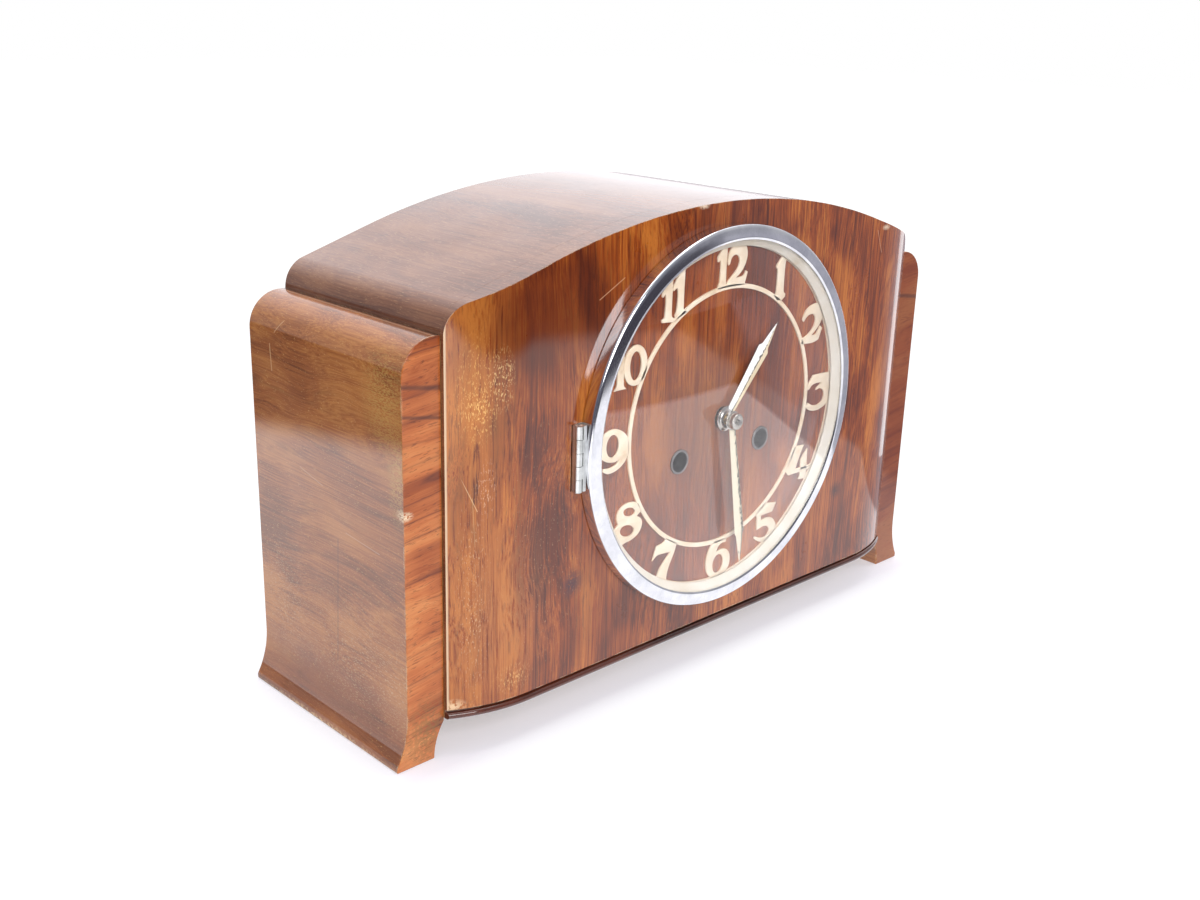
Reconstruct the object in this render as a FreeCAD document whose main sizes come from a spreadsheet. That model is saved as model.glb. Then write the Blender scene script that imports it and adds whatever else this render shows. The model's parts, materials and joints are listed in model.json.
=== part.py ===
import FreeCAD, Part
import math
import os
import re
import Sketcher

Vector = FreeCAD.Vector

# Driving sizes in millimetres, angles in degrees. Depths run backwards from the front board's flat face.
SIZES = {
    # case outline
    "body_half": 160.5,
    "apex_height": 232.4,
    "arch_radius": 380.0,
    "arch_reach": 115.0,
    "shoulder_radius": 14.0,
    "case_depth": 128.0,
    "flat_half": 122.0,
    "bow_depth": 10.2,
    "board_thick": 11.9,
    "board_bottom": 22.3,
    "cover_thick": 8.0,
    "cover_drop": 2.3,
    "side_thick": 9.0,
    "base_bottom": 18.0,
    "base_thick": 10.0,
    "seam": 0.1,
    "overrun": 1.0,
    # moulding below the front board
    "bead_height": 3.2,
    "bead_proud": 1.3,
    "groove_deep": 1.2,
    # wings, which stand as the feet
    "wing_thick": 19.5,
    "wing_front": 12.0,
    "wing_top": 190.2,
    "wing_flat": 3.5,
    "foot_reach": 6.0,
    "foot_inset": 5.5,
    "foot_toe": 2.5,
    "flare_radius": 45.0,
    "foot_rise": 17.0,
    "foot_inner_radius": 30.0,
    # rear frame, door and its catch
    "frame_thick": 8.0,
    "frame_recess": 2.0,
    "door_half": 96.0,
    "door_low": 46.0,
    "door_high": 186.0,
    "door_corner": 12.0,
    "door_gap": 0.8,
    "door_thick": 6.0,
    "slot_width": 5.0,
    "slot_length": 62.0,
    "slot_pitch": 16.0,
    "slot_height": 116.0,
    "knuckle_radius": 2.2,
    "rear_pin_radius": 1.0,
    "pin_play": 0.06,
    "leaf_thick": 1.0,
    "leaf_width": 13.0,
    "leaf_height": 24.0,
    "leaf_inset": 22.0,
    "end_play": 0.15,
    "button_long": 17.0,
    "button_half": 5.0,
    "button_thick": 2.4,
    "button_side": 6.0,
    "button_screw_radius": 1.7,
    "button_head_radius": 3.4,
    "button_head_thick": 1.6,
    "part_gap": 0.3,
    # bezel door
    "dial_height": 128.05,
    "bezel_radius": 94.3,
    "bezel_front_radius": 94.1,
    "bezel_edge": 6.1,
    "bezel_lip_radius": 88.1,
    "bezel_front": 7.3,
    "bezel_wall": 5.6,
    "bezel_bevel": 0.7,
    "lip_drop": 0.4,
    "lip_radius": 86.9,
    "glass_radius": 88.3,
    "glass_rise": 9.0,
    "glass_thick": 1.5,
    "glass_seat": 6.4,
    "sight_radius": 83.4,
    "sight_thick": 0.9,
    "sight_rear": 1.2,
    "hinge_x": 97.5,
    "hinge_proud": 3.0,
    "hinge_radius": 1.7,
    "hinge_pin_radius": 0.7,
    "hinge_half": 15.3,
    "hinge_leaf": 1.2,
    "hinge_plate_width": 17.0,
    # dial fret, grommets and hands
    "fret_inner": 63.2,
    "fret_width": 2.2,
    "fret_outer": 83.3,
    "fret_rim": 3.0,
    "fret_thick": 0.8,
    "arbor_hole": 5.5,
    "wind_x": 29.59,
    "wind_drop": 16.36,
    "grommet_bore": 4.8,
    "grommet_flange": 6.1,
    "grommet_proud": 0.7,
    "grommet_wall": 0.5,
    "hour_length": 54.6,
    "hour_shoulder": 39.5,
    "hour_root": 2.3,
    "hour_wide": 4.4,
    "hour_neck": 2.7,
    "hour_angle": 38.8,
    "hour_depth": 2.6,
    "collet_radius": 6.2,
    "minute_length": 80.0,
    "minute_shoulder": 62.0,
    "minute_root": 2.1,
    "minute_wide": 3.4,
    "minute_neck": 2.6,
    "minute_angle": 169.8,
    "point_half": 0.25,
    "minute_depth": 6.0,
    "minute_bend": 1.3,
    "hand_thick": 0.6,
    "minute_hub": 4.6,
    "nut_radius": 4.0,
    "nut_long": 3.6,
    "nut_radius_front": 3.4,
    "arbor_tip": 11.5,
    # movement plates
    "plate_half": 52.0,
    "plate_low": 80.0,
    "plate_high": 178.0,
    "plate_thick": 2.0,
    "front_plate_depth": 22.0,
    "plate_space": 32.0,
    "pillar_x": 47.0,
    "pillar_inset": 7.0,
    "pillar_radius": 3.0,
    "pillar_end_radius": 1.6,
    "post_radius": 4.0,
    "nut_flat": 3.2,
    "nut_thick": 2.2,
    # arbors
    "play": 0.05,
    "arbor_radius": 1.5,
    "pivot_radius": 1.0,
    "centre_front_radius": 1.2,
    "cannon_radius": 2.0,
    "hour_pipe_radius": 2.9,
    "minute_stud_radius": 1.2,
    "shake": 0.3,
    "stud_long": 8.5,
    # gears: modules, levels and thicknesses
    "great_module": 1.0,
    "great_depth": 26.0,
    "great_thick": 2.5,
    "drum_radius": 21.5,
    "drum_long": 15.5,
    "inter_module": 0.7,
    "inter_depth": 46.0,
    "centre_module": 0.6,
    "centre_depth": 50.0,
    "third_module": 0.5,
    "third_depth": 38.0,
    "wheel_thick": 1.5,
    "pinion_over": 0.8,
    "third_angle": 120.0,
    "escape_radius": 9.0,
    "escape_depth": 32.0,
    "escape_thick": 1.2,
    "escape_tooth": 2.0,
    "motion_module": 0.8,
    "cannon_depth": 18.6,
    "cannon_thick": 2.0,
    "motion_thick": 1.2,
    "hour_wheel_depth": 15.0,
    "motion_angle": 60.0,
    "pin_module": 0.55,
    "pin_depth": 46.0,
    "pin_angle": 101.0,
    "warn_module": 0.5,
    "warn_depth": 40.0,
    "warn_angle": 90.0,
    "fly_angle": 20.0,
    "fly_depth": 45.0,
    "fly_wide": 8.5,
    "fly_long": 8.0,
    "fly_thick": 0.8,
    # winding squares, ratchets and clicks
    "wind_arbor_radius": 3.0,
    "wind_back_radius": 2.0,
    "square_side": 4.4,
    "square_front": 7.0,
    "ratchet_radius": 9.0,
    "ratchet_tooth": 1.5,
    "ratchet_depth": 19.6,
    "ratchet_thick": 1.8,
    "click_reach": 15.0,
    "click_angle": 35.0,
    "click_half": 1.8,
    "click_stud_radius": 1.4,
    "click_gap": 0.4,
    # anchor, crutch and pendulum
    "anchor_rise": 13.0,
    "anchor_half": 8.8,
    "anchor_drop": 8.1,
    "anchor_arch": 2.3,
    "anchor_thick": 1.2,
    "anchor_web": 2.6,
    "crutch_depth": 60.0,
    "crutch_long": 34.0,
    "crutch_half": 1.2,
    "crutch_thick": 1.2,
    "rod_depth": 66.0,
    "rod_radius": 1.1,
    "rod_drop": 106.0,
    "bob_radius": 17.0,
    "bob_thick": 8.0,
    "rating_nut_radius": 3.0,
    "rating_nut_long": 3.0,
    "spring_thick": 0.3,
    "spring_long": 9.0,
    "cock_wide": 12.0,
    "cock_foot": 1.5,
    "cock_foot_high": 13.0,
    "cock_arm": 3.0,
    "cock_arm_wide": 6.0,
    "cheek_thick": 1.5,
    # gong and hammers
    "gong_x": 112.0,
    "gong_depth": 76.0,
    "gong_wide": 26.0,
    "gong_deep": 34.0,
    "gong_high": 26.0,
    "gong_rod_radius": 1.3,
    "gong_rod_long": 205.0,
    "gong_rod_pitch": 9.0,
    "gong_rod_height": 42.0,
    "hammer_x": 40.0,
    "hammer_z": 85.0,
    "hammer_arm_x": 20.0,
    "hammer_head_radius": 4.0,
    "hammer_head_long": 12.0,
    "hammer_gap": 2.5,
    "hammer_arm_radius": 1.1,
    "hammer_arbor_long": 34.0,
}

COUNTS = {
    "great_teeth": 48,
    "inter_leaves": 8,
    "inter_teeth": 40,
    "centre_leaves": 10,
    "centre_teeth": 48,
    "third_leaves": 8,
    "third_teeth": 48,
    "escape_leaves": 8,
    "escape_teeth": 24,
    "cannon_teeth": 10,
    "minute_teeth": 30,
    "minute_leaves": 8,
    "hour_teeth": 32,
    "pin_leaves": 8,
    "pin_teeth": 48,
    "warn_leaves": 8,
    "warn_teeth": 40,
    "fly_leaves": 8,
    "ratchet_teeth": 16,
    "slot_count": 7,
}

# Sizes that follow from the ones above
DERIVED = {
    "wing_half": "=body_half + wing_thick",
    "wing_radius": "=wing_thick - wing_flat",
    "foot_half": "=wing_half + foot_reach",
    "board_back": "=board_thick + seam",
    "base_top": "=base_bottom + base_thick",
    "back_plate_depth": "=front_plate_depth + plate_thick + plate_space",
    "wind_z": "=dial_height - wind_drop",
    "shoulder_x": "=body_half - shoulder_radius",
    "arch_lean": "=arch_reach / arch_radius",
    "shoulder_z": "=apex_height - arch_radius"
                  " + (arch_radius - shoulder_radius - shoulder_x * arch_lean) / sqrt(1 - arch_lean ^ 2)",
    "cover_bottom": "=shoulder_z - cover_drop",
}

doc = FreeCAD.newDocument("MantelClock")
sheet = doc.addObject("Spreadsheet::Sheet", "Sizes")
NAMES = []
for row, (name, number) in enumerate({**SIZES, **COUNTS, **DERIVED}.items(), start=1):
    sheet.set(f"A{row}", name)
    sheet.set(f"B{row}", str(number))
    sheet.setAlias(f"B{row}", name)
    NAMES.append(name)
doc.recompute()


class Named:
    """The sheet's values as attributes, for the shapes worked out below."""

    def __init__(self):
        for alias in NAMES:
            setattr(self, alias, sheet.get(alias))


s = Named()

# The origin lies under the middle of the whole depth, from the glass to the rear door's hinge knuckles.
FRONT_Y = "(glass_seat + glass_rise - case_depth + frame_recess - 2 * knuckle_radius - seam) / 2"
WORD = re.compile(r"[a-z]+_[a-z_]+|seam|play|shake|overrun")
KEPT = []


def linked(text):
    """The same sum, reading the sheet from another object."""
    return WORD.sub(lambda found: "Sizes." + found.group(0), text)


def worked_out(text):
    """The value of a sum of sheet names."""
    sheet.set("D1", "=" + text)
    sheet.recompute()
    return float(sheet.get("D1"))


front_y = worked_out(FRONT_Y)


def bind(item, **sums):
    for prop, text in sums.items():
        item.setExpression(prop.replace("__", "."), linked(text))


def place(item, x, y, z):
    """Puts an object at x, its depth behind the front board's face, and its height."""
    item.setExpression("Placement.Base.x", linked(x))
    item.setExpression("Placement.Base.y", linked(f"{FRONT_Y} + {y}"))
    item.setExpression("Placement.Base.z", linked(z))


def keep(item, node):
    item.Label = node
    KEPT.append(item)
    return item


def box(name, x, y, z, wide, deep, high):
    item = doc.addObject("Part::Box", name)
    bind(item, Length=wide, Width=deep, Height=high)
    place(item, x, y, z)
    return item


BACKWARDS = FreeCAD.Rotation(Vector(1, 0, 0), -90)
SIDEWAYS = FreeCAD.Rotation(Vector(0, 1, 0), 90)


def rod(name, x, y, z, radius, length, turn=BACKWARDS):
    """A round bar that runs backwards from its front end, unless it is turned another way."""
    item = doc.addObject("Part::Cylinder", name)
    item.Placement = FreeCAD.Placement(Vector(), turn)
    bind(item, Radius=radius, Height=length)
    place(item, x, y, z)
    return item


def post(name, x, y, z, radius, length):
    return rod(name, x, y, z, radius, length, FreeCAD.Rotation())


def cut(name, base, tools):
    joined = doc.addObject("Part::MultiFuse", name + "_tools")
    joined.Shapes = tools
    item = doc.addObject("Part::Cut", name)
    item.Base = base
    item.Tool = joined
    return item


def group(name, pieces):
    """Separate solids that share one node."""
    item = doc.addObject("Part::Compound", name)
    item.Links = pieces
    return item


def solid(name, shape):
    """A shape worked out from the sheet, set in its place behind the front board's face."""
    item = doc.addObject("Part::Feature", name)
    item.Shape = shape
    item.Placement = FreeCAD.Placement(Vector(0, front_y, 0), FreeCAD.Rotation())
    return item


# Sketched pieces: every corner is a pair of sums, with a radius and a side where an arc ends there.
def arc_through(start, end, radius, side):
    chord = end - start
    middle = (start + end) * 0.5
    rise = math.sqrt(max(radius ** 2 - (chord.Length / 2) ** 2, 0))
    normal = Vector(-chord.y, chord.x, 0).normalize()
    centre = middle + normal * rise * side
    return Part.Arc(start, centre + (middle - centre).normalize() * radius, end), centre


def body_for(name, plane):
    body = doc.addObject("PartDesign::Body", name)
    sketch = body.newObject("Sketcher::SketchObject", name + "_outline")
    origin = [f for f in body.Origin.OriginFeatures if f.Role == plane][0]
    sketch.AttachmentSupport = [(origin, "")]
    sketch.MapMode = "FlatFace"
    return body, sketch


def outline(sketch, corners):
    """Draws a closed outline and ties each corner to the sheet."""
    points = [Vector(worked_out(c[0]), worked_out(c[1]), 0) for c in corners]
    count = len(corners)
    for i, corner in enumerate(corners):
        start, end = points[i - 1], points[i]
        if len(corner) > 2:
            curve, centre = arc_through(start, end, worked_out(corner[2]), corner[3])
            first = math.atan2(start.y - centre.y, start.x - centre.x)
            last = math.atan2(end.y - centre.y, end.x - centre.x)
            if corner[3] < 0:
                first, last = last, first
            circle = Part.Circle(centre, Vector(0, 0, 1), worked_out(corner[2]))
            sketch.addGeometry(Part.ArcOfCircle(circle, first, last), False)
        else:
            sketch.addGeometry(Part.LineSegment(start, end), False)

    def ends(i):
        """Which end of segment i lies at its last corner: a clockwise arc is stored turned round."""
        flipped = len(corners[i]) > 2 and corners[i][3] < 0
        return (2, 1) if flipped else (1, 2)

    for i in range(count):
        after = (i + 1) % count
        sketch.addConstraint(Sketcher.Constraint("Coincident", i, ends(i)[1], after, ends(after)[0]))
    for i, corner in enumerate(corners):
        for kind, text, value in (("DistanceX", corner[0], points[i].x), ("DistanceY", corner[1], points[i].y)):
            index = sketch.addConstraint(Sketcher.Constraint(kind, -1, 1, i, ends(i)[1], value))
            if WORD.search(text):
                sketch.setExpression(f"Constraints[{index}]", linked(text))
        if len(corner) > 2:
            index = sketch.addConstraint(Sketcher.Constraint("Radius", i, worked_out(corner[2])))
            sketch.setExpression(f"Constraints[{index}]", linked(corner[2]))


def padded(name, corners, front, thick):
    """A flat piece: an outline seen from the front, carried backwards."""
    body, sketch = body_for(name, "XZ_Plane")
    outline(sketch, corners)
    pad = body.newObject("PartDesign::Pad", name + "_pad")
    pad.Profile = sketch
    pad.Reversed = True
    bind(pad, Length=thick)
    place(body, "0", front, "0")
    return body


def turned(name, corners, x="0", z="dial_height"):
    """A turned piece: corners are radius and depth, revolved about an axis that runs backwards."""
    body, sketch = body_for(name, "XY_Plane")
    outline(sketch, corners)
    ring = body.newObject("PartDesign::Revolution", name + "_turn")
    ring.Profile = sketch
    ring.ReferenceAxis = (sketch, ["V_Axis"])
    ring.Angle = 360
    place(body, x, "0", z)
    return body


# Case shapes that follow the arch seen from the front or the bow seen from above
arch_turn = math.asin(s.arch_reach / s.arch_radius)
arch_z = s.apex_height - s.arch_radius
shoulder_x = s.shoulder_x
shoulder_z = s.shoulder_z
cover_bottom = s.cover_bottom
bow_run = s.body_half - s.flat_half
bow_radius = (bow_run ** 2 + s.bow_depth ** 2) / (2 * s.bow_depth)


def mirrored(point):
    return Vector(-point.x, point.y, point.z)


def arch_face(inset, bottom):
    """The front outline, inset all round: crown arc, straight slopes, shoulder arcs and straight sides."""
    slope = Vector(math.sin(arch_turn), 0, math.cos(arch_turn))
    level = Vector(1, 0, 0)
    crown = Vector(0, 0, arch_z)
    shoulder = Vector(shoulder_x, 0, shoulder_z)
    top = crown + Vector(0, 0, s.arch_radius - inset)
    eave = crown + slope * (s.arch_radius - inset)
    turn_in = shoulder + slope * (s.shoulder_radius - inset)
    turn_mid = shoulder + (slope + level).normalize() * (s.shoulder_radius - inset)
    turn_out = shoulder + level * (s.shoulder_radius - inset)
    foot = Vector(s.body_half - inset, 0, bottom)
    edges = [
        Part.LineSegment(mirrored(foot), foot),
        Part.LineSegment(foot, turn_out),
        Part.Arc(turn_out, turn_mid, turn_in),
        Part.LineSegment(turn_in, eave),
        Part.Arc(eave, top, mirrored(eave)),
        Part.LineSegment(mirrored(eave), mirrored(turn_in)),
        Part.Arc(mirrored(turn_in), mirrored(turn_mid), mirrored(turn_out)),
        Part.LineSegment(mirrored(turn_out), mirrored(foot)),
    ]
    return Part.Face(Part.Wire([edge.toShape() for edge in edges]))


def bow_edges(offset, half):
    """One bowed line seen from above, left to right: flat in the middle, rolled back at both ends."""
    radius = bow_radius - offset
    centre = Vector(s.flat_half, bow_radius, 0)
    reach = math.asin((half - s.flat_half) / radius)
    start = Vector(s.flat_half, offset, 0)
    middle = centre + Vector(math.sin(reach / 2), -math.cos(reach / 2), 0) * radius
    end = centre + Vector(math.sin(reach), -math.cos(reach), 0) * radius
    return [
        Part.Arc(mirrored(end), mirrored(middle), mirrored(start)).toShape(),
        Part.LineSegment(mirrored(start), start).toShape(),
        Part.Arc(start, middle, end).toShape(),
    ], end


def bow_block(offset, half, low, high):
    """A block whose front follows the bow and whose back is the board's flat back."""
    front, end = bow_edges(offset, half)
    corners = [end, Vector(half, s.board_thick, 0), Vector(-half, s.board_thick, 0), mirrored(end)]
    lines = [Part.LineSegment(a, b).toShape() for a, b in zip(corners, corners[1:])]
    face = Part.Face(Part.Wire(Part.__sortEdges__(front + lines)))
    face.translate(Vector(0, 0, low))
    return face.extrude(Vector(0, 0, high - low))


def hole(x, z, radius, near, far):
    return Part.makeCylinder(radius, far - near, Vector(x, near, z), Vector(0, 1, 0))


wind_z = s.wind_z


def front_board():
    slab = arch_face(0, s.board_bottom).extrude(Vector(0, s.case_depth / 2, 0))
    bowed = bow_block(0, s.body_half, 0, s.apex_height + s.overrun)
    holes = [hole(0, s.dial_height, s.arbor_hole, -s.overrun, s.board_back)]
    for side in (-1, 1):
        holes.append(hole(side * s.wind_x, wind_z, s.grommet_bore + s.grommet_wall, -s.overrun, s.board_back))
    recess = Part.makeBox(s.hinge_plate_width + s.seam, s.hinge_leaf + s.overrun, 2 * (s.hinge_half + s.seam),
                          Vector(-s.hinge_x - s.hinge_radius - s.seam, -s.overrun,
                                 s.dial_height - s.hinge_half - s.seam))
    return slab.common(bowed).cut(holes + [recess])


def top_cover():
    outer = arch_face(0, cover_bottom)
    inner = arch_face(s.cover_thick, cover_bottom - s.overrun)
    ring = outer.cut(inner)
    ring.translate(Vector(0, s.board_back, 0))
    return ring.extrude(Vector(0, s.case_depth - s.board_back, 0))


def base_moulding():
    bead = bow_block(-s.bead_proud, s.body_half, s.base_bottom, s.base_bottom + s.bead_height)
    neck = bow_block(s.groove_deep, s.body_half, s.base_bottom + s.bead_height, s.board_bottom)
    return bead.fuse(neck).removeSplitter()


def back_frame():
    inset = s.cover_thick + s.seam
    front = s.case_depth - s.frame_recess - s.frame_thick
    low = s.base_top
    panel = arch_face(inset, low).extrude(Vector(0, s.frame_thick, 0))
    panel.translate(Vector(0, front, 0))
    side_cut = s.side_thick - s.cover_thick
    trims = []
    for side in (-1, 1):
        x = s.body_half - s.side_thick - s.seam
        trims.append(Part.makeBox(side_cut + s.overrun, s.frame_thick, cover_bottom + s.seam - low,
                                  Vector(x if side > 0 else -x - side_cut - s.overrun, front, low)))
    opening = rounded_block(s.door_half, s.door_low, s.door_high, s.door_corner, front, s.frame_thick)
    return panel.cut(trims + [opening])


def rounded_block(half, low, high, corner, front, thick):
    block = Part.makeBox(2 * half, thick, high - low, Vector(-half, front, low))
    upright = [e for e in block.Edges if abs(e.Length - thick) < s.seam and e.tangentAt(0).y != 0]
    return block.makeFillet(corner, upright)


def rear_door():
    back = s.case_depth - s.frame_recess
    door = rounded_block(s.door_half - s.door_gap, s.door_low + s.door_gap, s.door_high - s.door_gap,
                         s.door_corner - s.door_gap, back - s.door_thick, s.door_thick)
    slots = []
    for i in range(int(s.slot_count)):
        x = (i - (s.slot_count - 1) / 2) * s.slot_pitch
        low = s.slot_height - s.slot_length / 2
        bar = Part.makeBox(s.slot_width, s.door_thick, s.slot_length,
                           Vector(x - s.slot_width / 2, back - s.door_thick, low))
        slots.append(bar)
    return door.cut(slots)


keep(solid("front_board", front_board()), "front_board")
keep(solid("top_cover", top_cover()), "top_cover")
boards = []
for side, x in (("left", "-body_half"), ("right", "body_half - side_thick")):
    board = box("side_" + side, x, "board_back", "base_top", "side_thick", "case_depth - board_back",
                "cover_bottom - base_top")
    boards.append(board)
keep(group("side_boards", boards), "side_boards")
keep(box("base_board", "-body_half", "board_back", "base_bottom", "2 * body_half", "case_depth - board_back",
         "base_thick"), "base_board")
keep(solid("base_moulding", base_moulding()), "base_moulding")
keep(solid("back_frame", back_frame()), "back_frame")
keep(solid("rear_door", rear_door()), "rear_door")

for sign, node in ((-1, "wing_left"), (1, "wing_right")):
    side = "-" if sign < 0 else ""
    keep(padded(node, [
        (f"{side}body_half", "foot_rise"),
        (f"{side}(body_half + foot_inset)", "0", "foot_inner_radius", -sign),
        (f"{side}foot_half", "0"),
        (f"{side}foot_half", "foot_toe"),
        (f"{side}wing_half", "foot_toe + sqrt(flare_radius ^ 2 - (flare_radius - foot_reach) ^ 2)",
         "flare_radius", -sign),
        (f"{side}wing_half", "wing_top - wing_radius"),
        (f"{side}(wing_half - wing_radius)", "wing_top", "wing_radius", sign),
        (f"{side}body_half", "wing_top"),
    ], "wing_front", "case_depth - wing_front"), node)

# Bezel door: ring, domed glass and sight ring
keep(turned("bezel_ring", [
    ("bezel_radius", "-part_gap"),
    ("bezel_front_radius", "-bezel_edge"),
    ("bezel_front_radius - bezel_bevel", "-bezel_edge - bezel_bevel"),
    ("bezel_lip_radius", "-bezel_front"),
    ("lip_radius", "-glass_seat - lip_drop"),
    ("glass_radius + seam", "-glass_seat - seam"),
    ("bezel_radius - bezel_wall", "-part_gap"),
]), "bezel_ring")

DOME = "(glass_radius ^ 2 + glass_rise ^ 2) / (2 * glass_rise)"
keep(turned("door_glass", [
    ("0", "-glass_seat - glass_rise"),
    ("glass_radius", "-glass_seat", DOME, 1),
    ("glass_radius", "-glass_seat + glass_thick"),
    ("0", "-glass_seat - glass_rise + glass_thick", DOME, -1),
]), "door_glass")

keep(turned("sight_ring", [
    ("glass_radius", "-glass_seat + glass_thick + seam"),
    ("glass_radius", "-glass_seat + glass_thick + seam + sight_thick"),
    ("sight_radius + sight_thick", "-sight_rear"),
    ("sight_radius", "-sight_rear"),
    ("sight_radius", "-sight_rear - sight_thick"),
    ("glass_radius - sight_thick", "-glass_seat + glass_thick + seam"),
]), "sight_ring")

for side, node in (("-", "left"), ("", "right")):
    turned("grommet_" + node, [
        ("grommet_bore", "-grommet_proud"),
        ("grommet_flange", "-grommet_proud"),
        ("grommet_flange", "-play"),
        ("grommet_bore + grommet_wall - play", "-play"),
        ("grommet_bore + grommet_wall - play", "board_thick"),
        ("grommet_bore", "board_thick"),
    ], f"{side}wind_x", "wind_z")
grommets = group("winding_grommets", [doc.getObject("grommet_left"), doc.getObject("grommet_right")])
keep(grommets, "winding_grommets")


# Dial fret: two flat rings
def flat_ring(inner, outer, near, thick):
    axis = Vector(0, 1, 0)
    centre = Vector(0, near, s.dial_height)
    return Part.makeCylinder(outer, thick, centre, axis).cut(Part.makeCylinder(inner, thick, centre, axis))


def chapter_ring():
    inner = flat_ring(s.fret_inner, s.fret_inner + s.fret_width, -s.fret_thick, s.fret_thick)
    outer = flat_ring(s.fret_outer, s.fret_outer + s.fret_rim, -s.fret_thick, s.fret_thick)
    return Part.makeCompound([inner, outer])


keep(solid("chapter_ring", chapter_ring()), "chapter_ring")


# Bezel hinge: five knuckles, of which the second and fourth belong to the bezel
def knuckle(x, y, low, high, radius, bore):
    barrel = Part.makeCylinder(radius, high - low, Vector(x, y, low))
    return barrel.cut(Part.makeCylinder(bore, high - low, Vector(x, y, low)))


def bezel_knuckles(moving):
    step = 2 * s.hinge_half / 5
    low = s.dial_height - s.hinge_half
    pieces = []
    for i in range(5):
        if (i % 2 == 1) == moving:
            start = low + i * step + (s.end_play / 2 if i else 0)
            end = low + (i + 1) * step - (s.end_play / 2 if i < 4 else 0)
            pieces.append((start, end))
    return pieces


def bezel_leaf():
    parts = []
    bore = s.hinge_pin_radius + s.pin_play
    for low, high in bezel_knuckles(True):
        barrel = Part.makeCylinder(s.hinge_radius, high - low, Vector(-s.hinge_x, -s.hinge_proud, low))
        reach = s.hinge_x - s.bezel_radius + s.bezel_wall / 2
        tab = Part.makeBox(reach, s.hinge_leaf, high - low, Vector(-s.hinge_x, -s.hinge_proud - s.hinge_leaf, low))
        parts.append(barrel.fuse(tab).cut(Part.makeCylinder(bore, high - low, Vector(-s.hinge_x, -s.hinge_proud, low))))
    strap_low, strap_high = bezel_knuckles(True)[0][0], bezel_knuckles(True)[-1][1]
    strap = Part.makeBox(s.hinge_leaf, s.hinge_leaf, strap_high - strap_low,
                         Vector(-s.hinge_x + s.hinge_radius + s.part_gap, -s.hinge_proud - s.hinge_leaf, strap_low))
    shape = parts[0].fuse(parts[1:] + [strap])
    disc = Part.makeCylinder(s.bezel_radius + s.play, s.case_depth, Vector(0, -s.case_depth / 2, s.dial_height),
                             Vector(0, 1, 0))
    return shape.cut(disc).removeSplitter()


def hinge_plate():
    low = s.dial_height - s.hinge_half
    plate = Part.makeBox(s.hinge_plate_width - s.seam, s.hinge_leaf, 2 * s.hinge_half,
                         Vector(-s.hinge_x - s.hinge_radius, 0, low))
    parts = []
    for start, end in bezel_knuckles(False):
        barrel = Part.makeCylinder(s.hinge_radius, end - start, Vector(-s.hinge_x, -s.hinge_proud, start))
        web = Part.makeBox(s.hinge_radius, s.hinge_proud + s.hinge_leaf / 2, end - start,
                           Vector(-s.hinge_x - s.hinge_radius, -s.hinge_proud, start))
        parts.append(barrel.fuse(web))
    bore = Part.makeCylinder(s.hinge_pin_radius, 2 * s.hinge_half, Vector(-s.hinge_x, -s.hinge_proud, low))
    return plate.fuse(parts).cut(bore).removeSplitter()


keep(solid("bezel_leaf", bezel_leaf()), "bezel_leaf")
keep(solid("hinge_plate", hinge_plate()), "hinge_plate")
keep(post("hinge_pin", "-hinge_x", "-hinge_proud", "dial_height - hinge_half", "hinge_pin_radius",
          "2 * hinge_half"), "hinge_pin")


# Hands: lances seen from the front, with the tip bent back towards the dial
def lance(root, wide, neck, shoulder, length, angle, near, bend, hub, bore):
    """A hand that widens from its root to its shoulder and narrows to its tip, turned to its angle."""
    half = [(root, 0), (wide, shoulder), (neck, shoulder + wide - neck), (s.point_half, length)]
    points = [Vector(-x, near, z) for x, z in half] + [Vector(x, near, z) for x, z in reversed(half)]
    blade = Part.Face(Part.makePolygon(points + [points[0]])).extrude(Vector(0, s.hand_thick + bend, 0))
    side = [(near, 0), (near, shoulder), (near + bend, length), (near + bend + s.hand_thick, length),
            (near + s.hand_thick, shoulder), (near + s.hand_thick, 0)]
    points = [Vector(-wide, y, z) for y, z in side]
    bent = Part.Face(Part.makePolygon(points + [points[0]])).extrude(Vector(2 * wide, 0, 0))
    eye = Part.makeCylinder(hub, s.hand_thick, Vector(0, near, 0), Vector(0, 1, 0))
    shape = blade.common(bent).fuse(eye)
    shape = shape.cut(Part.makeCylinder(bore, s.hand_thick, Vector(0, near, 0), Vector(0, 1, 0)))
    shape.rotate(Vector(), Vector(0, 1, 0), angle)
    shape.translate(Vector(0, 0, s.dial_height))
    return shape.removeSplitter()


def tube(inner, outer, near, far):
    centre = Vector(0, near, s.dial_height)
    axis = Vector(0, 1, 0)
    return Part.makeCylinder(outer, far - near, centre, axis).cut(Part.makeCylinder(inner, far - near, centre, axis))


def hour_hand():
    near = -s.hour_depth - s.hand_thick
    hand = lance(s.hour_root, s.hour_wide, s.hour_neck, s.hour_shoulder, s.hour_length, s.hour_angle, near, 0,
                 s.hour_pipe_radius + s.hand_thick, s.hour_pipe_radius)
    collet = tube(s.hour_pipe_radius, s.collet_radius, -s.hour_depth, -s.hour_depth + s.hand_thick)
    return hand.fuse(collet).removeSplitter()


def minute_hand():
    near = -s.minute_depth - s.hand_thick
    return lance(s.minute_root, s.minute_wide, s.minute_neck, s.minute_shoulder, s.minute_length, s.minute_angle,
                 near, s.minute_bend, s.minute_hub, s.centre_front_radius)


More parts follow.
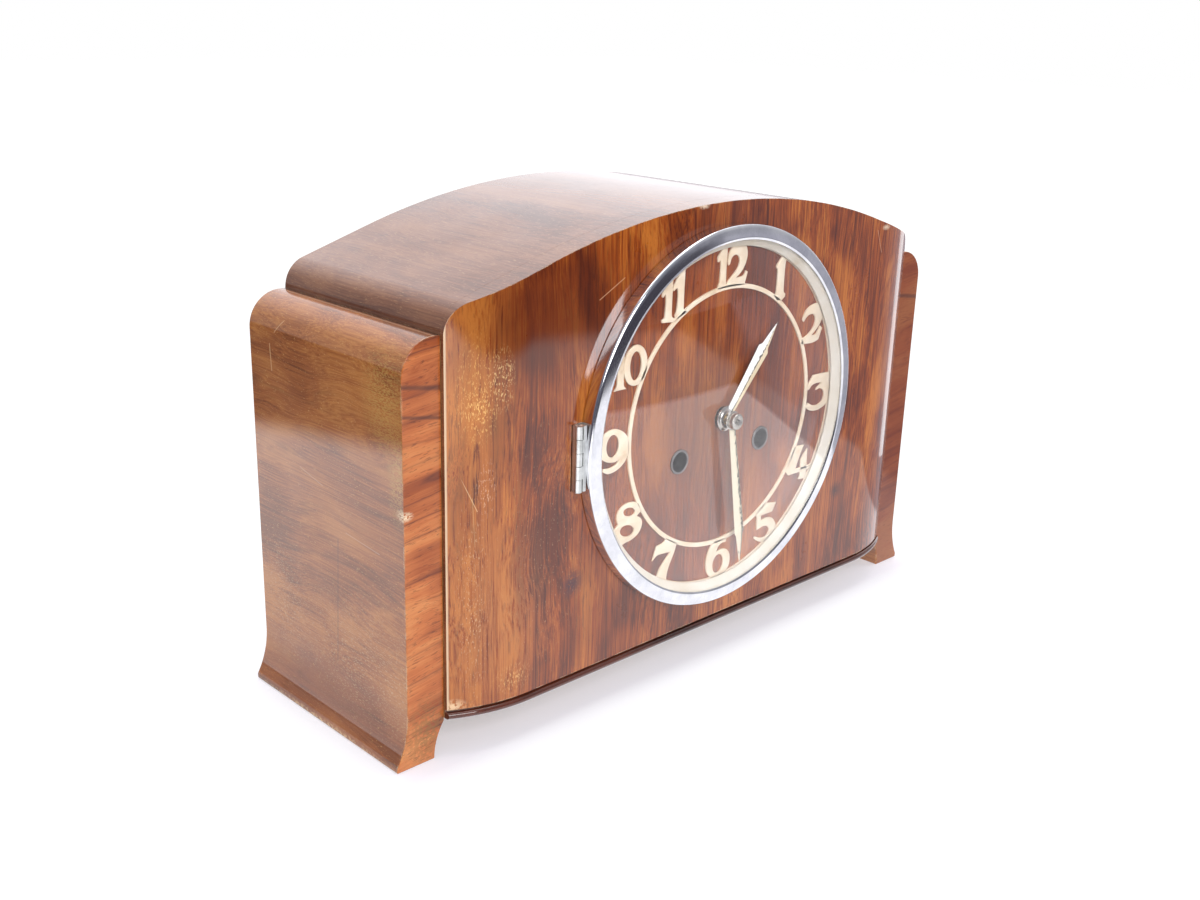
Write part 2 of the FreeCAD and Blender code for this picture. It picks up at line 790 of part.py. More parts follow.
keep(solid("hour_hand", hour_hand()), "hour_hand")
keep(solid("minute_hand", minute_hand()), "minute_hand")
keep(turned("hand_nut", [
    ("centre_front_radius", "-minute_depth - hand_thick"),
    ("centre_front_radius", "-minute_depth - hand_thick - nut_long"),
    ("nut_radius_front", "-minute_depth - hand_thick - nut_long"),
    ("nut_radius", "-minute_depth - nut_long"),
    ("nut_radius", "-minute_depth - hand_thick"),
]), "hand_nut")


# Gear geometry
def gear_face(teeth, module, phase, centre):
    """A flat toothed face with straight flanks: tip, root and width are shares of the module and pitch."""
    tip_share, root_share = 0.85, 1.15
    if teeth < 15:
        tip_share, root_share = 0.8, 1.1
    tip_width_share, root_width_share = 0.14, 0.27
    pitch = 2 * math.pi / teeth
    radius = teeth * module / 2
    points = []
    for i in range(int(teeth)):
        middle = phase + i * pitch
        for reach, turn in ((-root_share, -root_width_share), (tip_share, -tip_width_share),
                            (tip_share, tip_width_share), (-root_share, root_width_share)):
            r = radius + reach * module
            a = middle + turn * pitch
            points.append(Vector(centre[0] + r * math.cos(a), 0, centre[1] + r * math.sin(a)))
    return Part.Face(Part.makePolygon(points + [points[0]]))


def gear(teeth, module, phase, bore, centre, near, thick):
    shape = gear_face(teeth, module, phase, centre).extrude(Vector(0, thick, 0))
    shape.translate(Vector(0, near, 0))
    if bore:
        shape = shape.cut(hole(centre[0], centre[1], bore, near, near + thick))
    return shape


def polar(centre, reach, angle):
    turn = math.radians(angle)
    return (centre[0] + reach * math.cos(turn), centre[1] + reach * math.sin(turn))


def apart(teeth, leaves, module):
    return (teeth + leaves) * module / 2


def meet(first, first_reach, second, second_reach, side):
    """The point at given distances from two centres."""
    gap = math.dist(first, second)
    along = (first_reach ** 2 - second_reach ** 2 + gap ** 2) / (2 * gap)
    off = math.sqrt(first_reach ** 2 - along ** 2) * side
    ux, uz = (second[0] - first[0]) / gap, (second[1] - first[1]) / gap
    return (first[0] + along * ux - off * uz, first[1] + along * uz + off * ux)


def heading(first, second):
    return math.atan2(second[1] - first[1], second[0] - first[0])


def gap_phase(centre, other, teeth):
    """Turns a gear so that the middle of a gap faces the other gear's tooth."""
    return heading(centre, other) + math.pi / teeth


centre = (0, s.dial_height)
time_barrel = (s.wind_x, wind_z)
strike_barrel = (-s.wind_x, wind_z)
inter = meet(time_barrel, apart(s.great_teeth, s.inter_leaves, s.great_module),
             centre, apart(s.inter_teeth, s.centre_leaves, s.inter_module), -1)
third = polar(centre, apart(s.centre_teeth, s.third_leaves, s.centre_module), s.third_angle)
escape_run = apart(s.third_teeth, s.escape_leaves, s.third_module)
escape = (0, third[1] + math.sqrt(escape_run ** 2 - third[0] ** 2))
anchor = (0, escape[1] + s.anchor_rise)
motion = polar(centre, apart(s.minute_teeth, s.cannon_teeth, s.motion_module), s.motion_angle)
pin = polar(strike_barrel, apart(s.great_teeth, s.pin_leaves, s.great_module), s.pin_angle)
warn = polar(pin, apart(s.pin_teeth, s.warn_leaves, s.pin_module), s.warn_angle)
fly = polar(warn, apart(s.warn_teeth, s.fly_leaves, s.warn_module), s.fly_angle)
hammer = (-s.hammer_x, s.hammer_z)

back_plate_depth = s.back_plate_depth
inside_front = s.front_plate_depth + s.plate_thick
beyond_back = back_plate_depth + s.plate_thick


def bar(at, radius, near, far):
    return hole(at[0], at[1], radius, near, far)


def arbor(at, leaves, module, phase, near, thick):
    """A steel arbor with a pinion cut on it and a pivot at each end."""
    shape = bar(at, s.arbor_radius, inside_front + s.shake, back_plate_depth - s.shake)
    shape = shape.fuse(bar(at, s.pivot_radius, s.front_plate_depth, beyond_back))
    pinion = gear(leaves, module, phase, 0, at, near - s.pinion_over, thick + 2 * s.pinion_over)
    return shape.fuse(pinion).removeSplitter()


def barrel(at, phase):
    wheel = gear(s.great_teeth, s.great_module, phase, 0, at, s.great_depth, s.great_thick)
    drum_near = s.great_depth + s.great_thick
    drum = bar(at, s.drum_radius, drum_near, drum_near + s.drum_long)
    bore = bar(at, s.wind_arbor_radius + s.play, s.great_depth, drum_near + s.drum_long)
    return wheel.fuse(drum).cut(bore).removeSplitter()


def ratchet_face(at):
    points = []
    pitch = 2 * math.pi / s.ratchet_teeth
    for i in range(int(s.ratchet_teeth)):
        for reach, turn in ((s.ratchet_radius, 0), (s.ratchet_radius - s.ratchet_tooth, s.seam)):
            a = (i + turn) * pitch
            points.append(Vector(at[0] + reach * math.cos(a), 0, at[1] + reach * math.sin(a)))
    return Part.Face(Part.makePolygon(points + [points[0]]))


def winding_arbor(at):
    shape = bar(at, s.wind_arbor_radius, s.ratchet_depth + s.ratchet_thick, s.great_depth + s.great_thick + s.drum_long)
    shape = shape.fuse(bar(at, s.wind_back_radius, inside_front, beyond_back))
    ratchet = ratchet_face(at).extrude(Vector(0, s.ratchet_thick, 0))
    ratchet.translate(Vector(0, s.ratchet_depth, 0))
    half = s.square_side / 2
    square = Part.makeBox(s.square_side, s.ratchet_depth - s.square_front, s.square_side,
                          Vector(at[0] - half, s.square_front, at[1] - half))
    return shape.fuse([ratchet, square]).removeSplitter()


def click_at(at, side):
    return polar(at, s.click_reach, -90 + side * s.click_angle)


def click(at, side):
    """A pawl held just clear of the ratchet's tips, with its nose towards them."""
    pivot = click_at(at, side)
    lean = heading(pivot, at) + side * math.radians(s.click_angle)
    along = Vector(math.cos(lean), 0, math.sin(lean))
    across = Vector(-along.z, 0, along.x)
    foot = Vector(pivot[0], s.ratchet_depth, pivot[1])
    reach = s.click_reach - s.ratchet_radius + s.click_gap
    points = [foot + across * s.click_half, foot + along * reach, foot - across * s.click_half]
    blade = Part.Face(Part.makePolygon(points + [points[0]])).extrude(Vector(0, s.ratchet_thick, 0))
    eye = bar(pivot, s.click_half + s.click_stud_radius, s.ratchet_depth, s.ratchet_depth + s.ratchet_thick)
    bore = bar(pivot, s.click_stud_radius + s.play, s.ratchet_depth, s.ratchet_depth + s.ratchet_thick)
    return blade.fuse(eye).cut(bore).removeSplitter()


heading_inter = heading(time_barrel, inter)
keep(solid("time_barrel", barrel(time_barrel, heading_inter)), "time_barrel")
keep(solid("strike_barrel", barrel(strike_barrel, heading(strike_barrel, pin))), "strike_barrel")
for side, node, at in ((-1, "strike", strike_barrel), (1, "time", time_barrel)):
    keep(solid(node + "_winding_arbor", winding_arbor(at)), node + "_winding_arbor")
    keep(solid(node + "_click", click(at, side)), node + "_click")

keep(solid("intermediate_arbor", arbor(inter, s.inter_leaves, s.great_module,
                                       gap_phase(inter, time_barrel, s.inter_leaves),
                                       s.great_depth, s.great_thick)), "intermediate_arbor")
keep(solid("intermediate_wheel", gear(s.inter_teeth, s.inter_module, heading(inter, centre), s.arbor_radius, inter,
                                      s.inter_depth, s.wheel_thick)), "intermediate_wheel")


def centre_arbor():
    shape = bar(centre, s.arbor_radius, inside_front + s.shake, back_plate_depth - s.shake)
    shape = shape.fuse([
        bar(centre, s.centre_front_radius, -s.arbor_tip, inside_front + s.shake),
        bar(centre, s.pivot_radius, back_plate_depth - s.shake, beyond_back),
        gear(s.centre_leaves, s.inter_module, gap_phase(centre, inter, s.centre_leaves), 0, centre,
             s.inter_depth - s.pinion_over, s.wheel_thick + 2 * s.pinion_over),
    ])
    return shape.removeSplitter()


def cannon_pinion():
    pipe = bar(centre, s.cannon_radius, -s.minute_depth, s.cannon_depth + s.cannon_thick)
    leaves = gear(s.cannon_teeth, s.motion_module, heading(centre, motion), 0, centre, s.cannon_depth, s.cannon_thick)
    bore = bar(centre, s.centre_front_radius, -s.minute_depth, s.cannon_depth + s.cannon_thick)
    return pipe.fuse(leaves).cut(bore).removeSplitter()


def minute_wheel():
    near = s.hour_wheel_depth - s.pinion_over / 2
    wheel = gear(s.minute_teeth, s.motion_module, gap_phase(motion, centre, s.minute_teeth), 0, motion,
                 s.cannon_depth + s.pinion_over / 2, s.motion_thick)
    pinion = gear(s.minute_leaves, s.motion_module, heading(motion, centre), 0, motion, near,
                  s.cannon_depth + s.pinion_over / 2 - near)
    bore = bar(motion, s.minute_stud_radius + s.play, near, s.cannon_depth + s.cannon_thick)
    return wheel.fuse(pinion).cut(bore).removeSplitter()


def hour_wheel():
    wheel = gear(s.hour_teeth, s.motion_module, gap_phase(centre, motion, s.hour_teeth), 0, centre,
                 s.hour_wheel_depth, s.motion_thick)
    pipe = bar(centre, s.hour_pipe_radius, -s.hour_depth - s.hand_thick, s.hour_wheel_depth)
    bore = bar(centre, s.cannon_radius + s.play, -s.hour_depth - s.hand_thick, s.hour_wheel_depth + s.motion_thick)
    return wheel.fuse(pipe).cut(bore).removeSplitter()


keep(solid("centre_arbor", centre_arbor()), "centre_arbor")
keep(solid("centre_wheel", gear(s.centre_teeth, s.centre_module, heading(centre, third), s.arbor_radius, centre,
                                s.centre_depth, s.wheel_thick)), "centre_wheel")
keep(solid("cannon_pinion", cannon_pinion()), "cannon_pinion")
keep(solid("minute_wheel", minute_wheel()), "minute_wheel")
keep(solid("hour_wheel", hour_wheel()), "hour_wheel")
keep(solid("third_arbor", arbor(third, s.third_leaves, s.centre_module, gap_phase(third, centre, s.third_leaves),
                                s.centre_depth, s.wheel_thick)), "third_arbor")
keep(solid("third_wheel", gear(s.third_teeth, s.third_module, heading(third, escape), s.arbor_radius, third,
                               s.third_depth, s.wheel_thick)), "third_wheel")
keep(solid("escape_arbor", arbor(escape, s.escape_leaves, s.third_module,
                                 gap_phase(escape, third, s.escape_leaves), s.third_depth, s.wheel_thick)),
     "escape_arbor")


def escape_wheel():
    points = []
    pitch = 2 * math.pi / s.escape_teeth
    lean_shares = ((0, -s.escape_tooth), (0.42, 0), (0.5, 0), (0.62, -s.escape_tooth))
    for i in range(int(s.escape_teeth)):
        for turn, reach in lean_shares:
            a = (i + turn) * pitch
            r = s.escape_radius + reach
            points.append(Vector(escape[0] + r * math.cos(a), s.escape_depth, escape[1] + r * math.sin(a)))
    wheel = Part.Face(Part.makePolygon(points + [points[0]])).extrude(Vector(0, s.escape_thick, 0))
    return wheel.cut(bar(escape, s.arbor_radius, s.escape_depth, s.escape_depth + s.escape_thick))


keep(solid("escape_wheel", escape_wheel()), "escape_wheel")


# Strike train
def fly_shape():
    shape = arbor(fly, s.fly_leaves, s.warn_module, gap_phase(fly, warn, s.fly_leaves), s.warn_depth, s.wheel_thick)
    vane = Part.makeBox(2 * s.fly_wide, s.fly_long, s.fly_thick,
                        Vector(fly[0] - s.fly_wide, s.fly_depth, fly[1] - s.fly_thick / 2))
    return shape.fuse(vane).removeSplitter()


def strike_wheel(at, teeth, module, mate, depth, leaves, leaf_module, driver, driver_depth, driver_thick):
    shape = arbor(at, leaves, leaf_module, gap_phase(at, driver, leaves), driver_depth, driver_thick)
    return shape.fuse(gear(teeth, module, heading(at, mate), 0, at, depth, s.wheel_thick)).removeSplitter()


keep(solid("pin_wheel", strike_wheel(pin, s.pin_teeth, s.pin_module, warn, s.pin_depth, s.pin_leaves,
                                     s.great_module, strike_barrel, s.great_depth, s.great_thick)), "pin_wheel")
keep(solid("warning_wheel", strike_wheel(warn, s.warn_teeth, s.warn_module, fly, s.warn_depth, s.warn_leaves,
                                         s.pin_module, pin, s.pin_depth, s.wheel_thick)), "warning_wheel")
keep(solid("fly", fly_shape()), "fly")


# Plates, pillars and posts
def pivot_holes(near, far, front):
    run = s.pivot_radius + s.play
    holes = [bar(at, run, near, far) for at in (inter, third, escape, anchor, pin, warn, fly)]
    wind = s.wind_arbor_radius if front else s.wind_back_radius
    holes += [bar(at, wind + s.play, near, far) for at in (time_barrel, strike_barrel)]
    holes.append(bar(centre, (s.centre_front_radius if front else s.pivot_radius) + s.play, near, far))
    holes.append(bar(hammer, s.arbor_radius + s.play, near, far))
    return holes


def pillar_places():
    return [(side * s.pillar_x, z) for side in (-1, 1)
            for z in (s.plate_low + s.pillar_inset, s.plate_high - s.pillar_inset)]


def plate(near, front):
    slab = Part.makeBox(2 * s.plate_half, s.plate_thick, s.plate_high - s.plate_low,
                        Vector(-s.plate_half, near, s.plate_low))
    far = near + s.plate_thick
    holes = pivot_holes(near, far, front)
    holes += [bar(at, s.pillar_end_radius, near, far) for at in pillar_places()]
    return slab.cut(holes)


def front_plate():
    shape = plate(s.front_plate_depth, True)
    studs = [bar(motion, s.minute_stud_radius, s.front_plate_depth - s.stud_long, s.front_plate_depth)]
    for side, at in ((-1, strike_barrel), (1, time_barrel)):
        studs.append(bar(click_at(at, side), s.click_stud_radius, s.ratchet_depth, s.front_plate_depth))
    return shape.fuse(studs).removeSplitter()


keep(solid("front_plate", front_plate()), "front_plate")
keep(solid("back_plate", plate(back_plate_depth, False)), "back_plate")


def pillars():
    shapes = []
    for at in pillar_places():
        shapes.append(bar(at, s.pillar_radius, inside_front, back_plate_depth).fuse(
            bar(at, s.pillar_end_radius, s.front_plate_depth, beyond_back + s.nut_thick)).removeSplitter())
    return Part.makeCompound(shapes)


def pillar_nuts():
    nuts = []
    for at in pillar_places():
        corners = [polar(at, s.nut_flat, 60 * i) for i in range(6)]
        points = [Vector(x, beyond_back, z) for x, z in corners]
        face = Part.Face(Part.makePolygon(points + [points[0]]))
        nuts.append(face.extrude(Vector(0, s.nut_thick, 0)).cut(
            bar(at, s.pillar_end_radius, beyond_back, beyond_back + s.nut_thick)))
    return Part.makeCompound(nuts)


keep(solid("pillars", pillars()), "pillars")
keep(solid("pillar_nuts", pillar_nuts()), "pillar_nuts")
posts = []
for side, x in (("left", "-pillar_x"), ("right", "pillar_x")):
    for level, z in (("low", "plate_low + pillar_inset"), ("high", "plate_high - pillar_inset")):
        posts.append(rod(f"post_{side}_{level}", x, "board_thick", z, "post_radius",
                         "front_plate_depth - board_thick"))
keep(group("movement_posts", posts), "movement_posts")


# Anchor, crutch and pendulum
def pallet_anchor():
    near = s.escape_depth
    half = [(0, -s.anchor_arch + s.anchor_web / 2), (s.anchor_half - s.anchor_web / 2, -s.anchor_arch),
            (s.anchor_half, -s.anchor_drop), (s.anchor_half + s.anchor_web, -s.anchor_drop),
            (s.anchor_half, s.anchor_web / 2), (0, s.anchor_web)]
    outline_points = half + [(-x, z) for x, z in half[-2:0:-1]]
    points = [Vector(anchor[0] + x, near, anchor[1] + z) for x, z in outline_points]
    claw = Part.Face(Part.makePolygon(points + [points[0]])).extrude(Vector(0, s.anchor_thick, 0))
    shape = claw.fuse([
        bar(anchor, s.arbor_radius, inside_front + s.shake, back_plate_depth - s.shake),
        bar(anchor, s.pivot_radius, s.front_plate_depth, s.crutch_depth + s.crutch_thick),
    ])
    return shape.removeSplitter()


def crutch():
    near = s.crutch_depth
    arm = Part.makeBox(2 * s.crutch_half, s.crutch_thick, s.crutch_long,
                       Vector(-s.crutch_half, near, anchor[1] - s.crutch_long))
    eye = bar(anchor, s.crutch_half + s.arbor_radius, near, near + s.crutch_thick)
    pins = []
    low = anchor[1] - s.crutch_long
    for side in (-1, 1):
        at = side * (s.rod_radius + s.part_gap + s.crutch_half / 2)
        pins.append(Part.makeCylinder(s.crutch_half / 2, s.rod_depth + s.rod_radius - near,
                                      Vector(at, near, low + s.crutch_half), Vector(0, 1, 0)))
    bridge = Part.makeBox(2 * (s.rod_radius + s.part_gap + s.crutch_half), s.crutch_thick, 2 * s.crutch_half,
                          Vector(-s.rod_radius - s.part_gap - s.crutch_half, near, low))
    shape = arm.fuse([eye, bridge] + pins)
    return shape.cut(bar(anchor, s.pivot_radius, near, near + s.crutch_thick)).removeSplitter()


spring_top = anchor[1] + s.spring_long / 2
rod_low = anchor[1] - s.rod_drop


def pendulum_rod():
    """A flat steel spring at the top, whose middle lies on the anchor's axis, and a round rod below it."""
    spring_low = spring_top - s.spring_long
    shape = Part.makeCylinder(s.rod_radius, spring_low - rod_low, Vector(0, s.rod_depth, rod_low))
    spring = Part.makeBox(2 * s.crutch_half, s.spring_thick, s.spring_long,
                          Vector(-s.crutch_half, s.rod_depth - s.spring_thick / 2, spring_low))
    return shape.fuse(spring).removeSplitter()


def suspension_cock():
    """A foot on the plate, an arm over the pendulum and two cheeks that hold the spring's end."""
    foot_low = anchor[1] + s.crutch_half + s.arbor_radius + s.part_gap
    arm_low = spring_top + s.part_gap
    foot = Part.makeBox(s.cock_wide, s.cock_foot, s.cock_foot_high, Vector(-s.cock_wide / 2, beyond_back, foot_low))
    reach = s.rod_depth + s.spring_thick / 2 + s.part_gap + s.cheek_thick
    arm = Part.makeBox(s.cock_arm_wide, reach - beyond_back, s.cock_arm,
                       Vector(-s.cock_arm_wide / 2, beyond_back, arm_low))
    pieces = [arm]
    for near in (reach - s.cheek_thick, s.rod_depth - s.spring_thick / 2 - s.part_gap - s.cheek_thick):
        pieces.append(Part.makeBox(s.cock_arm_wide, s.cheek_thick, s.spring_long / 2,
                                   Vector(-s.cock_arm_wide / 2, near, arm_low + s.cock_arm - s.spring_long / 2)))
    return foot.fuse(pieces).removeSplitter()


keep(solid("pallet_anchor", pallet_anchor()), "pallet_anchor")
keep(solid("crutch", crutch()), "crutch")
keep(solid("pendulum_rod", pendulum_rod()), "pendulum_rod")
keep(solid("suspension_cock", suspension_cock()), "suspension_cock")


def pendulum_bob():
    at = (0, rod_low + s.bob_radius + s.rating_nut_long)
    bob = bar(at, s.bob_radius, s.rod_depth - s.bob_thick / 2, s.rod_depth + s.bob_thick / 2)
    bob = bob.makeChamfer(s.bob_thick / 4, [e for e in bob.Edges if e.Closed])
    bore = Part.makeCylinder(s.rod_radius, 2 * s.bob_radius + s.overrun,
                             Vector(0, s.rod_depth, rod_low + s.rating_nut_long))
    return bob.cut(bore)


def rating_nut():
    corners = [polar((0, s.rod_depth), s.rating_nut_radius, 60 * i) for i in range(6)]
    points = [Vector(x, y, rod_low) for x, y in corners]
    nut = Part.Face(Part.makePolygon(points + [points[0]])).extrude(Vector(0, 0, s.rating_nut_long))
    return nut.cut(Part.makeCylinder(s.rod_radius, s.rating_nut_long, Vector(0, s.rod_depth, rod_low)))


keep(solid("pendulum_bob", pendulum_bob()), "pendulum_bob")
keep(solid("rating_nut", rating_nut()), "rating_nut")

# Rear door fittings
HINGE_LINE = s.door_half - s.door_gap / 2
KNUCKLE_Y = s.case_depth - s.frame_recess + s.knuckle_radius + s.seam


def rear_leaves(moving):
    parts = []
    lows = (s.door_low + s.leaf_inset, s.door_high - s.leaf_inset - s.leaf_height)
    face = s.case_depth - s.frame_recess
    for low in lows:
        step = s.leaf_height / 3
        if moving:
            spans = [(low + step + s.end_play, low + 2 * step - s.end_play)]
            x = HINGE_LINE - s.leaf_width
        else:
            spans = [(low, low + step), (low + 2 * step, low + s.leaf_height)]
            x = HINGE_LINE
        piece = Part.makeBox(s.leaf_width - s.knuckle_radius - s.part_gap, s.leaf_thick, s.leaf_height,
                             Vector(x + (0 if moving else s.knuckle_radius + s.part_gap), face, low))
        for start, end in spans:
            curl = Part.makeCylinder(s.knuckle_radius, end - start, Vector(HINGE_LINE, KNUCKLE_Y, start))
            reach = s.leaf_width / 2
            web = Part.makeBox(reach, s.leaf_thick, end - start,
                               Vector(HINGE_LINE - (reach if moving else 0), face, start))
            tie = Part.makeBox(s.knuckle_radius, KNUCKLE_Y - face, end - start,
                               Vector(HINGE_LINE - (s.knuckle_radius if moving else 0), face, start))
            piece = piece.fuse([curl, web, tie])
            bore = s.rear_pin_radius + (s.pin_play if moving else 0)
            piece = piece.cut(Part.makeCylinder(bore, end - start, Vector(HINGE_LINE, KNUCKLE_Y, start)))
        parts.append(piece.removeSplitter())
    return Part.makeCompound(parts)


keep(solid("door_hinge_leaves", rear_leaves(True)), "door_hinge_leaves")
keep(solid("frame_hinge_leaves", rear_leaves(False)), "frame_hinge_leaves")
pins = [post("rear_pin_" + level, "door_half - door_gap / 2", "case_depth - frame_recess + knuckle_radius + seam", z,
             "rear_pin_radius", "leaf_height")
        for level, z in (("low", "door_low + leaf_inset"), ("high", "door_high - leaf_inset - leaf_height"))]
keep(group("rear_hinge_pins", pins), "rear_hinge_pins")

button_at = (-s.door_half - s.button_side, (s.door_low + s.door_high) / 2)
button_near = s.case_depth - s.frame_recess + s.part_gap


def turn_button():
    far = button_near + s.button_thick
    body = Part.makeBox(2 * s.button_half, s.button_thick, s.button_long,
                        Vector(button_at[0] - s.button_half, button_near, button_at[1]))
    shape = body.fuse([bar(button_at, s.button_half, button_near, far),
                       bar((button_at[0], button_at[1] + s.button_long), s.button_half, button_near, far)])
    return shape.cut(bar(button_at, s.button_screw_radius + s.play, button_near, far)).removeSplitter()


def button_screw():
    far = button_near + s.button_thick
    shank = bar(button_at, s.button_screw_radius, button_near - s.part_gap, far + s.play)
    return shank.fuse(bar(button_at, s.button_head_radius, far + s.play, far + s.button_head_thick))


keep(solid("turn_button", turn_button()), "turn_button")
keep(solid("button_screw", button_screw()), "button_screw")


# Gong and hammers
gong_rows = ("gong_depth - gong_rod_pitch", "gong_depth", "gong_depth + gong_rod_pitch")


def gong_bars(name, x, length):
    """Three round bars side by side, which run to the right."""
    return [rod(f"{name}_{i}", x, y, "gong_rod_height", "gong_rod_radius", length, SIDEWAYS)
            for i, y in enumerate(gong_rows)]


gong_body = box("gong_body", "gong_x - gong_wide / 2", "gong_depth - gong_deep / 2", "base_top", "gong_wide",
                "gong_deep", "gong_high")
sockets = gong_bars("gong_socket", "gong_x - gong_wide / 2", "gong_wide / 2")


def hammer_arm():
    """The arbor, and an arm that leans down to the two heads."""
    far = s.gong_depth + s.gong_rod_pitch / 2
    tip_z = s.gong_rod_height + s.gong_rod_radius + s.hammer_gap + s.hammer_head_long / 2
    shape = bar(hammer, s.arbor_radius, s.front_plate_depth, far)
    start = Vector(hammer[0], beyond_back + s.hammer_head_radius, hammer[1])
    arms = []
    for y in (s.gong_depth - s.gong_rod_pitch, s.gong_depth):
        start = Vector(hammer[0], y, hammer[1])
        end = Vector(hammer[0] - s.hammer_arm_x, y, tip_z)
        arms.append(Part.makeCylinder(s.hammer_arm_radius, (end - start).Length, start, end - start))
    return shape.fuse(arms).cut(hammer_head_shapes()).removeSplitter()


def hammer_head_shapes():
    low = s.gong_rod_height + s.gong_rod_radius + s.hammer_gap
    return [Part.makeCylinder(s.hammer_head_radius, s.hammer_head_long, Vector(hammer[0] - s.hammer_arm_x, y, low))
            for y in (s.gong_depth - s.gong_rod_pitch, s.gong_depth)]


keep(cut("gong_block", gong_body, sockets), "gong_block")
keep(group("gong_rods", gong_bars("gong_rod", "gong_x - gong_rod_long", "gong_rod_long")), "gong_rods")
keep(solid("hammer_arm", hammer_arm()), "hammer_arm")
keep(solid("hammer_heads", Part.makeCompound(hammer_head_shapes())), "hammer_heads")

doc.recompute()
for item in doc.Objects:
    if "Invalid" in item.State or "Error" in item.State:
        raise RuntimeError(f"{item.Label} failed: {item.State}")
os.makedirs("parts", exist_ok=True)
for item in KEPT:
    shape = item.Shape
    if shape.isNull() or not shape.isValid() or not shape.Solids:
        raise RuntimeError(f"{item.Label} has no valid solid")
    shape.exportStep(f"parts/{item.Label}.step")
print(len(KEPT), "pieces, board face at", front_y)
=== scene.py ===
import json
import math
from functools import partial

import bmesh
import bpy
import numpy as np
from mathutils import Matrix, Vector


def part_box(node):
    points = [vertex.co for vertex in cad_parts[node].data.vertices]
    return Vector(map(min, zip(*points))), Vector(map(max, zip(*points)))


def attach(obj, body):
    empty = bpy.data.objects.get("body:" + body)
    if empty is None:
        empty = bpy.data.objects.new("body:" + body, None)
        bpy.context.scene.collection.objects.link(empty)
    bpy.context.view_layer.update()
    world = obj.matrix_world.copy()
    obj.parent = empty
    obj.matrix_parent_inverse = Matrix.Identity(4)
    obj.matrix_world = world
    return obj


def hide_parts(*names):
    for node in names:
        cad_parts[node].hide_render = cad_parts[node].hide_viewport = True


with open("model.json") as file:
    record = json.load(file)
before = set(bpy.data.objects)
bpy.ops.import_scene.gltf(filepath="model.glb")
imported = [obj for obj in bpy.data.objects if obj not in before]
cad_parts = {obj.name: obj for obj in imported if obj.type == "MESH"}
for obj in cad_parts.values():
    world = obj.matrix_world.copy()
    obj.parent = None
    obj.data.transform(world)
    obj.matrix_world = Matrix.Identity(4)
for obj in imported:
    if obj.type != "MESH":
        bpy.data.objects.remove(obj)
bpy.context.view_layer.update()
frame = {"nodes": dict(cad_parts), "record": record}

nodes = frame["nodes"]
scene = bpy.context.scene
scene.view_settings.view_transform = "Standard"

# Lengths below are millimetres: x to the right, depth behind the dial's face, height above the shelf.
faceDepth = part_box("front_board")[0].y * 1000
print("frame loaded, dial face at", round(faceDepth, 2))


def linear(colour):
    # the linear colour that a shader socket wants, from an sRGB hex text or from a level of grey
    if not isinstance(colour, str):
        return (colour, colour, colour, 1)
    parts = [int(colour[i:i + 2], 16) / 255 for i in (0, 2, 4)]
    return [p / 12.92 if p <= 0.04045 else ((p + 0.055) / 1.055) ** 2.4 for p in parts] + [1]


def addNode(tree, kind, inputs=None, stops=(), out=None, **settings):
    # one node; after its kind may stand its operation or its type of data, then come its values or links, its ramp's
    # stops and its settings; the answer is the output that is named, or else the first that is in use
    kind, *choice = kind.split()
    node = tree.nodes.new("ShaderNode" + kind)
    for name in choice:
        setattr(node, "operation" if hasattr(node, "operation") else "data_type", name)
    for name, value in settings.items():
        setattr(node, name, value)
    for name, value in (inputs or {}).items():
        if isinstance(value, bpy.types.NodeSocket):
            tree.links.new(value, node.inputs[name])
        else:
            node.inputs[name].default_value = linear(value) if isinstance(value, str) else value
    if stops:
        ramp = node.color_ramp.elements
        while len(ramp) < len(stops):
            ramp.new(1.0)
        for element, (place, colour) in zip(ramp, stops):
            element.position, element.color = place, linear(colour)
    return node.outputs[out] if out else next((socket for socket in node.outputs if socket.enabled), node)


def makeMaterial(name, surface, look=None):
    # a material whose surface function gets the object's own coordinates in millimetres and answers a shader
    material = bpy.data.materials.new(name)
    material.use_nodes = True
    material.node_tree.nodes.clear()
    add = partial(addNode, material.node_tree)
    sized = add("Mapping", {"Vector": add("TexCoord", out="Object"), "Scale": (1000, 1000, 1000)})
    add("OutputMaterial", {"Surface": surface(add, sized, look)})
    return material


# the case's sizes, which repeat the CAD source's
case = {
    "half": 160.5, "apex": 232.4, "archRadius": 380.0, "archReach": 115.0, "shoulder": 14.0,
    "boardBack": 11.9, "boardLow": 22.3, "flatHalf": 122.0, "bow": 10.2, "coverNear": 12.0, "coverFar": 128.0,
    "coverThick": 8.0, "coverLow": 187.589, "dialZ": 128.05, "windX": 29.59, "windZ": 111.69,
}
dial = (0, case["dialZ"])
windings = [(side * case["windX"], case["windZ"]) for side in (-1, 1)]
lean = math.asin(case["archReach"] / case["archRadius"])
archZ = case["apex"] - case["archRadius"]
shoulderX = case["half"] - case["shoulder"]
shoulderZ = archZ + (case["archRadius"] - case["shoulder"] - shoulderX * math.sin(lean)) / math.cos(lean)
bowRadius = ((case["half"] - case["flatHalf"]) ** 2 + case["bow"] ** 2) / (2 * case["bow"])


def gridFaces(rows, columns, rowsClosed):
    # quads between the neighbouring rows of a grid of points whose columns close in a loop
    r = np.arange(rows if rowsClosed else rows - 1)[:, None]
    c = np.arange(columns)[None, :]
    nextR, nextC = (r + 1) % rows, (c + 1) % columns
    return np.stack([r * columns + c, r * columns + nextC, nextR * columns + nextC, nextR * columns + c],
                    -1).reshape(-1, 4)


